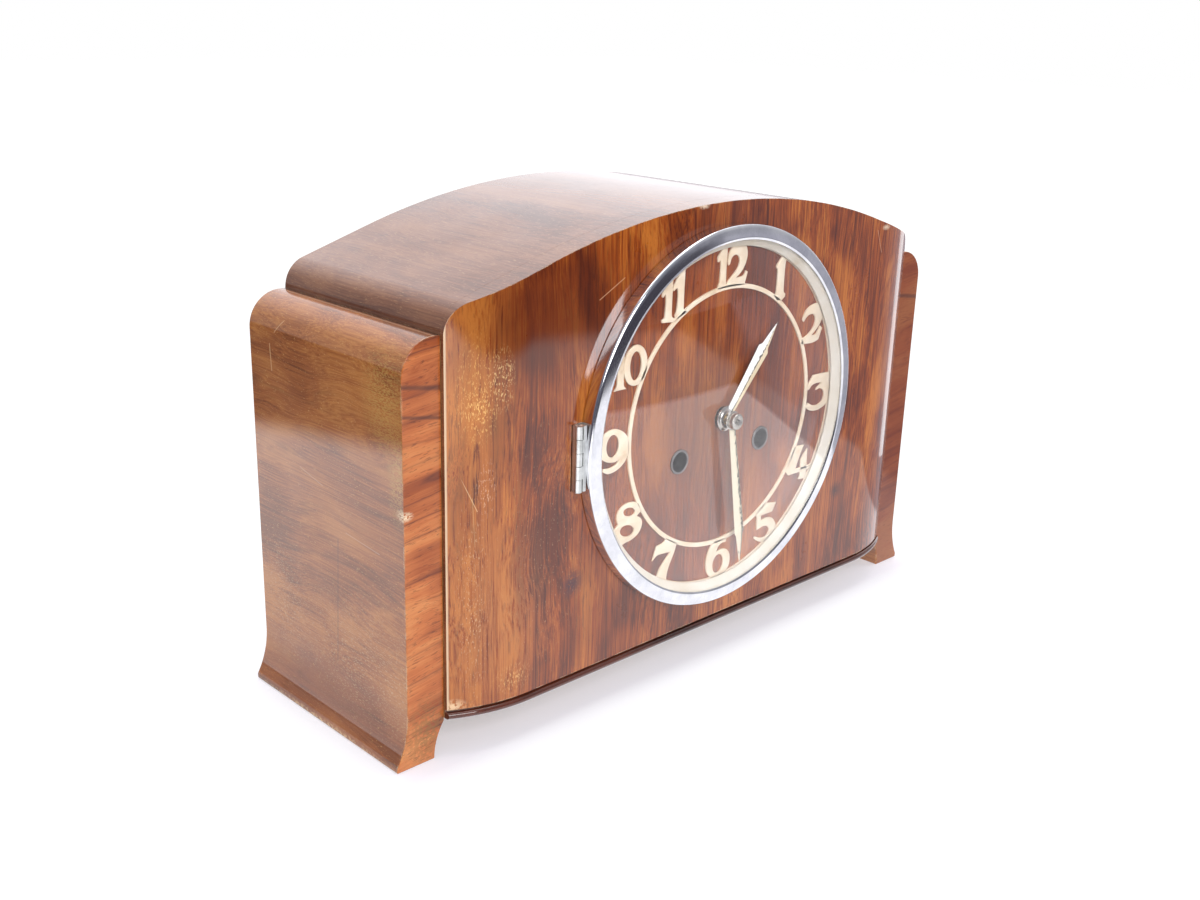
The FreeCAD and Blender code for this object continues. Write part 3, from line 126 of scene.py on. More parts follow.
def cappedTube(grid):
    # a grid of closed sections, row by row, joined and filled at its first and last section
    rows, columns = grid.shape[:2]
    faces = gridFaces(rows, columns, False).tolist()
    faces += [list(range(columns)), list(range(rows * columns - 1, (rows - 1) * columns - 1, -1))]
    return grid.reshape(-1, 3), faces


def makePiece(name, parts, body, materials, sharpAngle=35, bevel=0, keepPoints=False):
    # parts are (points, faces) shells in millimetres; they become one mesh whose faces point outwards
    mesh = bpy.data.meshes.new(name)
    allPoints, allFaces, start = [], [], 0
    for points, faces in parts:
        allPoints.append((np.asarray(points, float) + (0, faceDepth, 0)) / 1000)
        allFaces += [[int(i) + start for i in face] for face in faces]
        start += len(points)
    mesh.from_pydata(np.concatenate(allPoints).tolist(), [], allFaces)
    work = bmesh.new()
    work.from_mesh(mesh)
    if not keepPoints:
        bmesh.ops.remove_doubles(work, verts=work.verts, dist=2e-6)
        bmesh.ops.dissolve_degenerate(work, edges=work.edges, dist=1e-6)
    bmesh.ops.recalc_face_normals(work, faces=work.faces)
    work.to_mesh(mesh)
    work.free()
    mesh.shade_smooth()
    mesh.set_sharp_from_angle(angle=math.radians(sharpAngle))
    piece = bpy.data.objects.new(name, mesh)
    scene.collection.objects.link(piece)
    for material in materials:
        mesh.materials.append(material)
    if bevel:
        soft = piece.modifiers.new("softEdge", "BEVEL")
        soft.width, soft.segments, soft.limit_method = bevel / 1000, 3, "ANGLE"
        soft.angle_limit, soft.harden_normals = math.radians(40), True
    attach(piece, body)
    return piece


def secondFinish(piece, chosen):
    # the faces chosen by the depth part of their normals get the piece's second material
    normals = np.empty(len(piece.data.polygons) * 3)
    piece.data.polygons.foreach_get("normal", normals)
    piece.data.polygons.foreach_set("material_index", chosen(normals.reshape(-1, 3)[:, 1]).astype(int))


def softCorners(corners, steps=5):
    # each corner (a, b, reach) becomes a curve that leaves both sides at that reach: a quadratic Bezier
    pts = np.array([c[:2] for c in corners], float)
    out = []
    for i, (p, corner) in enumerate(zip(pts, corners)):
        if len(corner) < 3:
            out.append(p[None])
            continue
        before, after = pts[i - 1] - p, pts[(i + 1) % len(pts)] - p
        first = p + before / np.linalg.norm(before) * corner[2]
        last = p + after / np.linalg.norm(after) * corner[2]
        t = np.linspace(0, 1, steps + 1)[:, None]
        out.append((1 - t) ** 2 * first + 2 * t * (1 - t) * p + t ** 2 * last)
    return np.concatenate(out)


def turnedShell(profile, segments=192, centre=dial, wobble=None):
    # a closed profile of (radius, depth) turned about a line that runs backwards through the centre
    profile = np.asarray(profile, float)
    angle = np.linspace(0, 2 * math.pi, segments, endpoint=False)[None, :]
    radius = np.repeat(profile[:, :1], segments, 1)
    if wobble is not None:
        radius = wobble(radius, angle)
    depth = np.repeat(profile[:, 1:], segments, 1)
    points = np.stack([centre[0] + radius * np.cos(angle), depth, centre[1] + radius * np.sin(angle)], -1)
    return points.reshape(-1, 3), gridFaces(len(profile), segments, True)


def extrudedShell(outline, near, far):
    # an outline of (x, height) carried from one depth to another, with both ends closed
    x, height = np.asarray(outline, float).T
    return cappedTube(np.stack([np.c_[x, np.full(len(x), depth), height] for depth in (near, far)]))


def stood(shell, x, depth, height):
    # a shell whose depth becomes its height, moved to a place
    points, faces = shell
    return np.c_[x + points[:, 0], depth + points[:, 2], height + points[:, 1]], faces


def archLine(inset, low):
    # outline from the right foot over the crown to the left foot: side, shoulder arc, slope, crown arc, mirrored
    up = np.linspace(0, math.pi / 2 - lean, 24)
    r = case["shoulder"] - inset
    shoulder = np.c_[shoulderX + r * np.cos(up), shoulderZ + r * np.sin(up)]
    turn = np.linspace(lean, -lean, 96)
    crown = np.c_[np.sin(turn), np.cos(turn)] * (case["archRadius"] - inset) + (0, archZ)
    side = np.linspace(low, shoulderZ, 12, endpoint=False)
    half = np.concatenate([np.c_[np.full(12, case["half"] - inset), side], shoulder])
    return np.concatenate([half, crown, half[::-1] * (-1, 1)])


def archTop(x):
    # height of the outline above x: crown arc, straight slope or shoulder arc
    x = np.abs(x)
    crown = archZ + np.sqrt(np.maximum(case["archRadius"] ** 2 - x ** 2, 0))
    slopeTop = archZ + case["archRadius"] * math.cos(lean)
    slope = slopeTop - (x - case["archReach"]) * math.tan(lean)
    arc = shoulderZ + np.sqrt(np.maximum(case["shoulder"] ** 2 - (x - shoulderX) ** 2, 0))
    shoulderStart = shoulderX + case["shoulder"] * math.sin(lean)
    return np.where(x < case["archReach"], crown, np.where(x < shoulderStart, slope, arc))


def bowDepth(x, offset=0.0):
    # depth of the rolled front at x: flat in the middle, a circle's arc at both ends
    past = np.maximum(np.abs(x) - case["flatHalf"], 0)
    return bowRadius - np.sqrt((bowRadius - offset) ** 2 - past ** 2)


def bumped(add, colour, rough, height, strength, distance, more, invert=False):
    # a surface of a colour and a roughness, its normal tilted by the slope of a height, with further inputs
    bump = add("Bump", {"Height": height, "Strength": strength, "Distance": distance}, invert=invert)
    return add("BsdfPrincipled", {"Base Color": colour, "Roughness": rough, "Normal": bump, **more})


def stretchedNoise(add, place, lengths, shift=(0, 0, 0), **look):
    # noise whose features are as long as given along each axis
    scaled = add("Mapping", {"Vector": place, "Location": shift, "Scale": [1 / length for length in lengths]})
    return add("TexNoise", {"Vector": scaled, "Scale": 1, **look})


def cornerMask(add, radius, sharp, share=1.0):
    # grows where a small fillet's normal leaves the face's own, to the share where their product is down to sharp
    rounded = add("Bevel", {"Radius": radius}, samples=4)
    normal = add("NewGeometry", out="Normal")
    flat = add("VectorMath DOT_PRODUCT", {0: rounded, 1: normal})
    return add("MapRange", {0: flat, 1: 0.99, 2: sharp, 4: share})


def lineMask(add, place, share, start, end, wide):
    # nearness to the line from start to end: the share within 0.3 of the width, nothing beyond the width
    away = add("VectorMath SUBTRACT", {0: place, 1: start})
    run = Vector(end) - Vector(start)
    along = add("VectorMath DOT_PRODUCT", {0: away, 1: run / run.length_squared})
    part = add("Math MULTIPLY", {0: along, 1: 1.0}, use_clamp=True)
    foot = add("VectorMath SCALE", {0: run, "Scale": part})
    gap = add("VectorMath DISTANCE", {0: away, 1: foot})
    return add("MapRange", {0: gap, 1: wide, 2: wide * 0.3, 4: share})


def patchMask(add, place, share, centre, reach, grain, level):
    # nearness to a centre, gone at the reach, times the share where the grain is above its level
    away = add("VectorMath SUBTRACT", {0: place, 1: centre})
    even = add("VectorMath DIVIDE", {0: away, 1: reach})
    far = add("VectorMath LENGTH", {0: even})
    near = add("MapRange", {0: far, 1: 1.0, 2: 0.2})
    broken = add("MapRange", {0: grain, 1: level, 2: level + 0.09, 4: share})
    return add("Math MULTIPLY", {0: near, 1: broken})


def walnutVeneer(add, sized, cut):
    # walnut veneer, knife cut, stained and lacquered: fine streaks along the grain, thin dark growth lines that
    # drift together, cloudy patches and short pores; marks, some of them painted shade and painted highlight, and pale
    # wood where corners are rubbed through
    place = add("VectorMath ADD", {0: sized, 1: (0, -faceDepth, 0)})
    board = add("Mapping", {"Vector": place, "Rotation": cut["turn"], "Location": cut["shift"]})
    drift = stretchedNoise(add, board, cut["figure"], Detail=2.5, Distortion=0.6)
    swing = add("VectorMath SCALE", {0: (cut["wander"], cut["wander"], 0), "Scale": drift})
    bent = add("VectorMath ADD", {0: board, 1: swing})
    streak = stretchedNoise(add, bent, (0.85, 0.85, 95), Detail=5, Roughness=0.62)
    broad = stretchedNoise(add, bent, (11, 11, 230))
    cloud = stretchedNoise(add, board, (42, 42, 80), (7, 3, 11), Detail=3, Roughness=0.55, Distortion=0.5)
    tone = add("Math MULTIPLY", {0: streak, 1: cut["streaks"]})
    tone = add("Math MULTIPLY_ADD", {0: broad, 1: cut["bands"], 2: tone})
    tone = add("Math MULTIPLY_ADD", {0: cloud, 1: 1 - cut["streaks"] - cut["bands"], 2: tone})
    colour = add("ValToRGB", {0: tone}, [(0.42, cut["dark"]), (0.50, cut["middle"]), (0.59, cut["light"])])
    # growth lines: a saw of the bent distance across the grain, strong in some places and lost in others
    count = add("Math MULTIPLY", {0: add("SeparateXYZ", {0: bent}), 1: 1 / cut["lineGap"]})
    phase = add("Math MULTIPLY_ADD", {0: broad, 1: 3.0, 2: count})
    saw = add("Math FRACT", {0: phase})
    lines = add("ValToRGB", {0: saw}, [(0.0, 1), (0.06, 0.30), (0.22, 0.0), (0.84, 0.05), (1.0, 1)])
    strong = add("MapRange", {0: cloud, 1: 0.62, 2: 0.42, 3: 0.05, 4: cut["lineDepth"]})
    fleck = stretchedNoise(add, bent, (cut["poreWide"], cut["poreWide"], cut["poreLong"]), (3.3, 1.7, 5.1))
    pores = add("MapRange", {0: fleck, 1: cut["poreFrom"], 2: cut["poreFrom"] + 0.06, 4: cut["poreDepth"]})
    layers = [(add("Math MULTIPLY", {0: lines, 1: strong}), cut["line"]), (pores, cut["pore"])]
    ragged = add("TexNoise", {"Vector": place, "Scale": 0.11, "Detail": 5, "Roughness": 0.7})
    speck = add("TexNoise", {"Vector": place, "Scale": 0.6, "Detail": 4, "Roughness": 0.6})
    chip = stretchedNoise(add, bent, (0.5, 0.5, 1.5), (9.1, 4.2, 2.6))
    grains = {"chip": chip, "streak": streak, "speck": speck}
    for *where, tint, share in cut["marks"]:
        if len(where) == 3:
            shown = lineMask(add, place, share, *where)
        else:
            centre, reach, grain, level = where
            shown = patchMask(add, place, share, centre, reach, grains[grain], level)
        layers.append((shown, tint))
    patchy = add("MapRange", {0: ragged, 1: 0.46, 2: 0.58, 4: cut["rubShare"]})
    rubbed = add("Math MULTIPLY", {0: cornerMask(add, cut["rub"] / 1000, 0.88), 1: patchy})
    if cut["endLine"]:
        # the board's sawn end, bare beside the wing
        off = add("Math ABSOLUTE", {0: add("SeparateXYZ", {0: place})})
        bareEnd = add("MapRange", {0: off, 1: case["half"] - 1.0, 2: case["half"] - 0.5, 4: cut["endLine"]})
        rubbed = add("Math MAXIMUM", {0: rubbed, 1: bareEnd})
    for shown, tint in layers + [(rubbed, cut["bare"])]:
        colour = add("Mix RGBA", {0: shown, 6: colour, 7: tint})
    smear = add("TexNoise", {"Vector": place, "Scale": 0.035, "Detail": 6, "Roughness": 0.6})
    gloss = add("MapRange", {0: smear, 1: 0.3, 2: 0.7, 3: cut["rough"] - 0.07, 4: cut["rough"] + 0.09})
    height = add("Math MULTIPLY_ADD", {0: pores, 1: -0.6, 2: streak})
    return bumped(add, colour, gloss, height, cut["relief"], 0.0002, {
        "IOR": 1.5, "Specular IOR Level": 0.12, "Coat Weight": cut["coat"], "Coat Roughness": cut["coatRough"],
        "Coat IOR": 1.55})


# marks, painted shade and painted highlight among them: patches as centre, reach, grain and its level, colour, share;
# lines (scratches, and on the wing's top painted shade and highlight) as start, end, width, colour, share
frontMarks = [
    ((-22, 0, 122), (66, 30, 52), "streak", 0.26, "5a4036", 0.36),
    ((0, 0, 124), (112, 30, 112), "streak", 0.26, "5f3d2e", 0.42),
    ((-122, 0, 192), (48, 40, 44), "streak", 0.32, "5a2206", 0.72),
    ((-90, 0, 200), (20, 40, 34), "streak", 0.47, "3d1508", 0.75),
    ((-20, 0, 205), (60, 40, 40), "streak", 0.52, "441a0a", 0.6),
    ((-118, 0, 178), (16, 40, 10), "streak", 0.40, "51240f", 0.6),
    ((-128, 0, 92), (4, 40, 60), "streak", 0.46, "3f180b", 0.6),
    ((-97, 0, 68), (8, 40, 8), "speck", 0.36, "40202a", 0.85),
    ((-92, 0, 52), (12, 40, 30), "streak", 0.49, "4a2018", 0.6),
    ((100, 0, 67), (6, 40, 6), "speck", 0.36, "3d1a14", 0.85),
    ((-150, 4, 150), (24, 40, 90), "streak", 0.36, "c67c36", 0.4),
    ((-140, 4, 60), (34, 40, 60), "streak", 0.40, "b97a48", 0.4),
    ((-156, 6, 140), (5, 40, 62), "streak", 0.50, "4c1c08", 0.6),
    ((-148, 5, 165), (11, 40, 30), "chip", 0.57, "e6b25e", 0.7),
    ((-137, 3, 170), (7, 30, 16), "chip", 0.55, "f0c884", 0.85),
    ((-147, 3, 158), (9, 30, 14), "chip", 0.55, "f0bf6c", 0.85),
    ((-144, 3, 124), (5, 30, 15), "chip", 0.57, "e6bb94", 0.7),
    ((-131, 2, 32), (12, 30, 8), "chip", 0.55, "e0ac66", 0.8),
    ((-158, 10, 24), (6, 30, 4), "speck", 0.42, "ecc99c", 0.9),
    ((-20, 0, 231.6), (4.4, 6, 1.8), "speck", 0.40, "ead0b4", 0.95),
    ((125.8, 0, 209), (4.4, 6, 1.8), "speck", 0.40, "e4c7a8", 0.9),
    ((-84.3, 0, 196.6), (-69.5, 0, 204.5), 0.28, "dba77c", 0.7),
    ((-155.4, 7.2, 131), (-148, 4.5, 114), 0.27, "e8c08c", 0.6),
    ((-150, 5.2, 120), (-149, 4.9, 98), 0.24, "e0b070", 0.4),
    ((-150, 5, 70), (9, 30, 66), "chip", 0.60, "dcb98a", 0.6),
    ((-115, 0, 90), (34, 30, 80), "chip", 0.65, "d6a878", 0.5),
    ((118, 0, 208), (123, 0, 196), 0.25, "d8a886", 0.6),
]
sideMarksAndShade = [
    ((-180, 70, 12), (14, 95, 24), "streak", 0.40, "7d4023", 0.65),
    ((-180, 24, 164), (12, 18, 28), "chip", 0.46, "c8a050", 0.65),
    ((-180, 16, 132), (12, 8, 26), "chip", 0.46, "c8a050", 0.55),
    ((-180, 40, 40), (12, 80, 40), "chip", 0.57, "d2b07c", 0.55),
    ((-180, 110, 50), (12, 24, 40), "chip", 0.56, "d2b07c", 0.55),
    ((-186, 70, 0.6), (5, 66, 2.4), "speck", 0.46, "dcb27c", 0.9),
    ((-180, 106.5, 176), (-177.6, 99, 184), 0.4, "d8a878", 0.8),
    ((-177.6, 99, 184), (-176.5, 93, 185.5), 0.5, "d09a70", 0.6),
    ((-180, 110, 158), (-180, 110.8, 170), 0.5, "dcb07c", 0.75),
    ((-180, 61.3, 92), (-180, 65, 32), 0.35, "4a2f1c", 0.7),
    ((-180, 30, 95), (-180, 55, 97), 0.25, "d8b890", 0.5),
    ((-180, 90, 118), (-180, 72, 114), 0.25, "d8b890", 0.5),
    # painted shade: a dark line in the groove where the wing's top meets the body; beside it a pale grey line of
    # painted highlight on the wing's top
    ((-161.6, 12, 190.2), (-161.6, 128, 190.2), 1.7, "2a1a12", 0.85),
    ((-163.8, 12, 190.2), (-163.8, 128, 190.2), 0.6, "cbb9a4", 0.4),
    ((-180, 12, 117), (6, 6, 3.4), "chip", 0.42, "f0d8b0", 0.95),
]
bandMarksAndShade = [
    # painted shade: the right wing's front is darkened all over, standing in for less light falling on that side; the
    # left wing is left plain
    ((170, 12, 90), (70, 60, 330), "streak", 0.22, "6b2a14", 0.72),
    ((-180, 12, 171.6), (-160, 12, 168.2), 1.4, "3c211d", 0.6),
    ((-180, 12, 159.2), (-160, 12, 155.6), 1.1, "3c211d", 0.6),
    ((-179.2, 12, 116.8), (4.5, 4, 2.6), "chip", 0.40, "f4dcb8", 0.95),
    ((160, 12, 166), (180, 12, 163), 1.6, "3c211d", 0.6),
    ((-170, 12, 14), (16, 20, 22), "speck", 0.42, "84602f", 0.6),
]
alongHeight, alongDepth, alongWidth = (0, 0, 0), (math.pi / 2, 0, 0), (0, -math.pi / 2, 0)
veneerBase = {
    "turn": alongHeight, "shift": (0, 0, 0), "figure": (60, 60, 190), "lineGap": 4.6, "wander": 30, "endLine": 0,
    "streaks": 0.36, "bands": 0.20, "dark": "5f2406", "middle": "93430f", "light": "c07028", "line": "3a1006",
    "lineDepth": 0.75, "pore": "3c1a0c", "poreWide": 0.6, "poreLong": 9, "poreFrom": 0.60, "poreDepth": 0.45,
    "rub": 0.6, "rubShare": 0.9, "bare": "e6c8a2", "rough": 0.32, "relief": 0.06, "coat": 1.0, "coatRough": 0.06,
    "marks": [],
}
frontVeneer, coverVeneer, wingVeneer, bandVeneer, mouldingWood = [
    makeMaterial(name, walnutVeneer, {**veneerBase, **cut}) for name, cut in {
        "walnutVeneerPolished": {"endLine": 0.85, "marks": frontMarks},
        "walnutVeneerSatin": {
            "turn": alongDepth, "shift": (40, 10, 0), "dark": "623720", "middle": "7c4a2e", "light": "915f3d",
            "rough": 0.5, "coatRough": 0.13, "lineDepth": 0.32, "lineGap": 9, "pore": "b58a5c", "poreWide": 0.5,
            "poreLong": 3.5, "poreFrom": 0.62, "rubShare": 0.1},
        "walnutVeneerWornAndShadedSide": {
            "turn": alongDepth, "shift": (10, 60, 20), "dark": "7e4418", "middle": "a35e29", "light": "c07c3c",
            "line": "522a0a", "lineDepth": 0.5, "lineGap": 12, "pore": "d09a58", "poreWide": 0.42, "poreLong": 1.5,
            "poreFrom": 0.64, "poreDepth": 0.8, "rub": 1.4, "rough": 0.5, "coat": 0.95, "coatRough": 0.07,
            "rubShare": 1.0, "bare": "e8cda6", "marks": sideMarksAndShade},
        "walnutVeneerCrossBand": {
            "turn": (0, -math.pi / 2 + 0.13, 0), "shift": (0, 30, 5), "dark": "9a4a1c", "middle": "c06c36",
            "light": "d48a4e", "line": "6a2f18", "streaks": 0.18, "bands": 0.34, "lineGap": 12,
            "figure": (30, 30, 90), "wander": 14, "lineDepth": 0.9, "poreLong": 5, "rough": 0.4, "coat": 0.6,
            "coatRough": 0.15, "rubShare": 1.0, "bare": "e4be8c", "marks": bandMarksAndShade},
        "walnutMouldingDark": {"turn": alongWidth, "dark": "32140c", "middle": "4f2416", "light": "633020",
                               "line": "260d06", "rubShare": 0.25},
    }.items()]
print("veneers made")


def sawnWood(add, sized, look):
    # plain sawn or rotary cut wood, stained: straight fibres and broad bands along them, hardly any gloss
    turn, dark, middle, light, rough = look
    board = add("Mapping", {"Vector": sized, "Rotation": turn})
    band = stretchedNoise(add, board, (14, 14, 150), Detail=5, Roughness=0.6, Distortion=0.3)
    fibre = stretchedNoise(add, board, (0.9, 0.9, 30), Detail=3)
    both = add("Math MULTIPLY_ADD", {0: fibre, 1: 0.45, 2: band})
    colour = add("ValToRGB", {0: both}, [(0.45, dark), (0.72, middle), (0.98, light)])
    return bumped(add, colour, rough, both, 0.25, 0.0003, {"IOR": 1.5})


def platedMetal(add, sized, look):
    # plated or rolled metal: a mirror under a thin haze of smears, fine pits, and tarnish in broad patches
    plate, tarnish, smearSize, rough, haze, pitSize, relief = look
    smear = add("TexNoise", {"Vector": sized, "Scale": 1 / smearSize, "Detail": 6, "Roughness": 0.65})
    gloss = add("MapRange", {0: smear, 1: 0.3, 2: 0.75, 3: rough, 4: rough + haze})
    colour = add("ValToRGB", {0: smear}, [(0.42, plate), (0.72, tarnish)])
    pits = add("TexNoise", {"Vector": sized, "Scale": 1 / pitSize})
    return bumped(add, colour, gloss, pits, relief, 0.00005, {"Metallic": 1.0})


def bakedEnamel(add, sized, look):
    # old stoved enamel: a soft even gloss, slightly yellowed in patches, grime along its edges
    light, dull, stain, patchSize, grime, rough = look
    patch = add("TexNoise", {"Vector": sized, "Scale": 1 / patchSize, "Detail": 6, "Roughness": 0.6})
    ground = add("ValToRGB", {0: patch}, [(0.35, light), (0.62, dull), (0.80, stain)])
    colour = add("Mix RGBA", {0: cornerMask(add, 0.0005, 0.80, grime), 6: ground, 7: stain})
    return bumped(add, colour, rough, patch, 0.06, 0.0002, {"IOR": 1.5, "Coat Weight": 0.3, "Coat Roughness": 0.2})


def handEnamel(add, sized, look):
    # enamel brushed on steel hands: two tones either side of the ridge, the right one painted shade of the flank turned
    # from the light; chipped to dark steel along a line
    left, right, steelTint, flakeAt, flakeWide = look
    spot = add("SeparateXYZ", {0: add("UVMap", uv_map="alongHand")}).node.outputs
    side = add("MapRange", {0: spot[0], 1: -0.05, 2: 0.05})
    # the right flank's tone is painted shade: the flank of the ridge turned from the light
    two = add("Mix RGBA", {0: side, 6: left, 7: right})
    flake = add("TexNoise", {"Vector": sized, "Scale": 0.8, "Detail": 6, "Roughness": 0.7})
    off = add("Math SUBTRACT", {0: spot[0], 1: flakeAt})
    near = add("MapRange", {0: add("Math ABSOLUTE", {0: off}), 1: flakeWide, 2: 0.0, 3: -0.12, 4: 0.16})
    tip = add("MapRange", {0: spot[1], 1: 0.86, 2: 1.0, 4: 0.16})
    total = add("Math ADD", {0: add("Math ADD", {0: flake, 1: near}), 1: tip})
    chipped = add("ValToRGB", {0: total}, [(0.555, 0), (0.59, 1)])
    colour = add("Mix RGBA", {0: chipped, 6: two, 7: steelTint})
    return bumped(add, colour, 0.4, chipped, 0.4, 0.0001, {"IOR": 1.5}, invert=True)


def domeGlass(add, sized, look):
    # drawn clear glass, blown into a dome: colourless, with a sharp surface reflection, and clear to shadow rays
    clear = add("BsdfPrincipled", {"Base Color": "ffffff", "Roughness": 0.0, "IOR": 1.5, "Transmission Weight": 1.0})
    return add("MixShader", {0: add("LightPath", out="Is Shadow Ray"), 1: clear, 2: add("BsdfTransparent")})


def castIron(add, sized, look):
    # sand cast iron, painted black: coarse skin and a low gloss
    skin = add("TexNoise", {"Vector": sized, "Scale": 0.7, "Detail": 5})
    colour = add("ValToRGB", {0: skin}, [(0.3, "232221"), (0.8, "3d3a37")])
    return bumped(add, colour, 0.55, skin, 0.5, 0.0004, {})


def tannedLeather(add, sized, look):
    # vegetable tanned leather plug: matt, tan, with a fine pebbled grain
    pebble = add("TexVoronoi", {"Vector": sized, "Scale": 1.3})
    colour = add("ValToRGB", {0: pebble}, [(0.1, "6e4426"), (0.6, "9a6b42")])
    return bumped(add, colour, 0.7, pebble, 0.3, 0.0002, {})


# woods: grain's turn, dark, middle, light, roughness
caseSoftwood = makeMaterial("pineSawnStained", sawnWood, (alongWidth, "6b4526", "94683e", "b78b5a", 0.75))
rearPly = makeMaterial("birchPlyStained", sawnWood, (alongHeight, "4e2f1b", "6e4529", "8c5f3b", 0.6))
# metals: colour, tarnish, size of its patches, roughness, haze, size of the pits, relief
bezelChrome, nickel, dulledNickel, satinNickel, brass, steel, gongBronze = [
    makeMaterial(name, platedMetal, look) for name, look in {
        "chromePlateOnBrass": ("eeeef1", "cdced4", 22, 0.07, 0.12, 0.8, 0.05),
        "nickelPlateTurned": ("d6d4cf", "aca699", 5, 0.16, 0.18, 0.5, 0.15),
        "nickelPlateDulled": ("8d8a8a", "6a6766", 6, 0.3, 0.15, 0.5, 0.15),
        "nickelPlateSatin": ("dcdedb", "b6b8b4", 8, 0.26, 0.12, 0.5, 0.1),
        "brassRolledLacquered": ("c9a25a", "96713a", 18, 0.22, 0.22, 0.7, 0.2),
        "steelTurnedBright": ("a9a9a8", "7d7873", 9, 0.25, 0.2, 0.6, 0.2),
        "bronzeDrawnRod": ("b58a4c", "7b5b34", 14, 0.28, 0.2, 0.6, 0.2),
    }.items()]
# enamels: light, dull, stain, size of the patches, grime, roughness
fretCream = makeMaterial("enamelStovedCream", bakedEnamel, ("e8dac6", "e0cbb0", "c9a67c", 11, 0.45, 0.38))
creamPaint = makeMaterial("paintBakedIvory", bakedEnamel, ("dcd6cb", "d2c9b9", "c2ab86", 16, 0.25, 0.42))
# hands: left of the ridge (the lit flank), right of it (painted shade of the flank turned from the light), bare steel,
# place and width of the line of flakes across the hand
hourEnamel = makeMaterial("enamelBrushedHourHand", handEnamel, ("eeedea", "e3d2b0", "3b3022", 0.03, 0.30))
minuteEnamel = makeMaterial("enamelBrushedMinuteHand", handEnamel, ("dcd2ba", "ded4be", "3b2e24", -0.72, 0.8))
bezelGlass = makeMaterial("glassClearDome", domeGlass)

slotFinish = {
    "front_veneer": frontVeneer, "cover_veneer": coverVeneer, "wing_veneer": wingVeneer,
    "case_softwood": caseSoftwood, "rear_ply": rearPly, "moulding_wood": mouldingWood, "bezel_chrome": bezelChrome,
    "bezel_glass": bezelGlass, "cream_paint": creamPaint, "fret_cream": fretCream, "nickel": nickel,
    "hand_metal": steel, "brass": brass, "steel": steel, "iron": makeMaterial("ironCastPainted", castIron),
    "gong_bronze": gongBronze, "leather": makeMaterial("leatherTannedPlug", tannedLeather),
}
nodeFinish = {"bezel_leaf": satinNickel}
for part in frame["record"]["subparts"]:
    item = nodes[part["node"]]
    item.data.materials.clear()
    item.data.materials.append(nodeFinish.get(part["node"], slotFinish[part["material_slot"]]))
print("materials made")


def frontBoard():
    # grid over x and a closed section: front face, top, back and underside, all following the arch and the bow
    roll = np.linspace(case["flatHalf"], shoulderX, 14)[1:]
    last = shoulderX + case["shoulder"] * np.sin(np.linspace(0, math.pi / 2, 18)[1:])
    ends = np.concatenate([roll, last])
    x = np.concatenate([-ends[::-1], np.linspace(-case["flatHalf"], case["flatHalf"], 62), ends])[:, None]
    up = np.linspace(0, 1, 20)[None, :]
    front = case["boardLow"] + (archTop(x) - case["boardLow"]) * up
    z = np.concatenate([front, front[:, ::-1]], 1)
    y = np.concatenate([np.repeat(bowDepth(x), front.shape[1], 1), np.full_like(front, case["boardBack"])], 1)
    return cappedTube(np.stack([np.repeat(x, z.shape[1], 1), y, z], -1))


def drilled(piece, bores, pockets):
    # bores are (x, height, radius) and pockets outlines, each with its near and far depth; the cut is applied
    turn = np.linspace(0, 2 * math.pi, 64, endpoint=False)
    shells = [extrudedShell(np.c_[x + r * np.cos(turn), z + r * np.sin(turn)], near, far)
              for x, z, r, near, far in bores] + [extrudedShell(*pocket) for pocket in pockets]
    cutter = makePiece(piece.name + "Bores", shells, "case", [steel])
    hole = piece.modifiers.new("bores", "BOOLEAN")
    hole.object, hole.operation, hole.solver = cutter, "DIFFERENCE", "EXACT"
    ready = bpy.data.meshes.new_from_object(piece.evaluated_get(bpy.context.evaluated_depsgraph_get()))
    piece.modifiers.clear()
    piece.data = ready
    bpy.data.objects.remove(cutter)


def softFrontEdge(piece, width, sharp=0.6, behind=1.0):
    # bevel weights on the sharp edges that lie in front of the board's back by more than a margin
    work = bmesh.new()
    work.from_mesh(piece.data)
    weight = work.edges.layers.float.new("bevel_weight_edge")
    limit = (case["boardBack"] - behind + faceDepth) / 1000
    for line in work.edges:
        line[weight] = float(all(v.co.y < limit for v in line.verts) and line.calc_face_angle(0) > sharp)
    work.to_mesh(piece.data)
    work.free()
    soft = piece.modifiers.new("softEdge", "BEVEL")
    soft.width, soft.segments, soft.limit_method, soft.harden_normals = width / 1000, 3, "WEIGHT", True


cuts = {"near": -2, "far": 14, "arborHole": 5.5, "windingHole": 5.3, "plateDeep": 1.25,
        "plate": [(-99.3, 112.65), (-82.1, 112.65), (-82.1, 143.45), (-99.3, 143.45)]}
board = makePiece("frontBoard", [frontBoard()], "case", [frontVeneer, coverVeneer], 30)
secondFinish(board, lambda forward: np.abs(forward) < 0.6)
drilled(board, [(*place, radius, cuts["near"], cuts["far"]) for place, radius in (
    (dial, cuts["arborHole"]), (windings[0], cuts["windingHole"]), (windings[1], cuts["windingHole"]))],
    [(cuts["plate"], cuts["near"], cuts["plateDeep"])])
softFrontEdge(board, 0.4)
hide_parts("front_board")


def coverShell():
    # the arch carried backwards as a shell: outer and inner outlines at both depths, ends closed
    outer, inner = archLine(0, case["coverLow"]), archLine(case["coverThick"], case["coverLow"])
    near, far = case["coverNear"], case["coverFar"]
    return cappedTube(np.stack([np.c_[line[:, 0], np.full(len(line), depth), line[:, 1]]
                                for line, depth in ((outer, near), (outer, far), (inner, far), (inner, near))], 1))


cover = makePiece("topCover", [coverShell()], "case", [coverVeneer], 30)
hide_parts("top_cover")

wing = {"half": 180.0, "foot": 186.0, "inset": 5.5, "top": 190.2, "radius": 16.0, "near": 12.0, "far": 128.0,
        "rise": 17.0, "inner": 30.0, "toe": 2.5, "flare": 45.0}


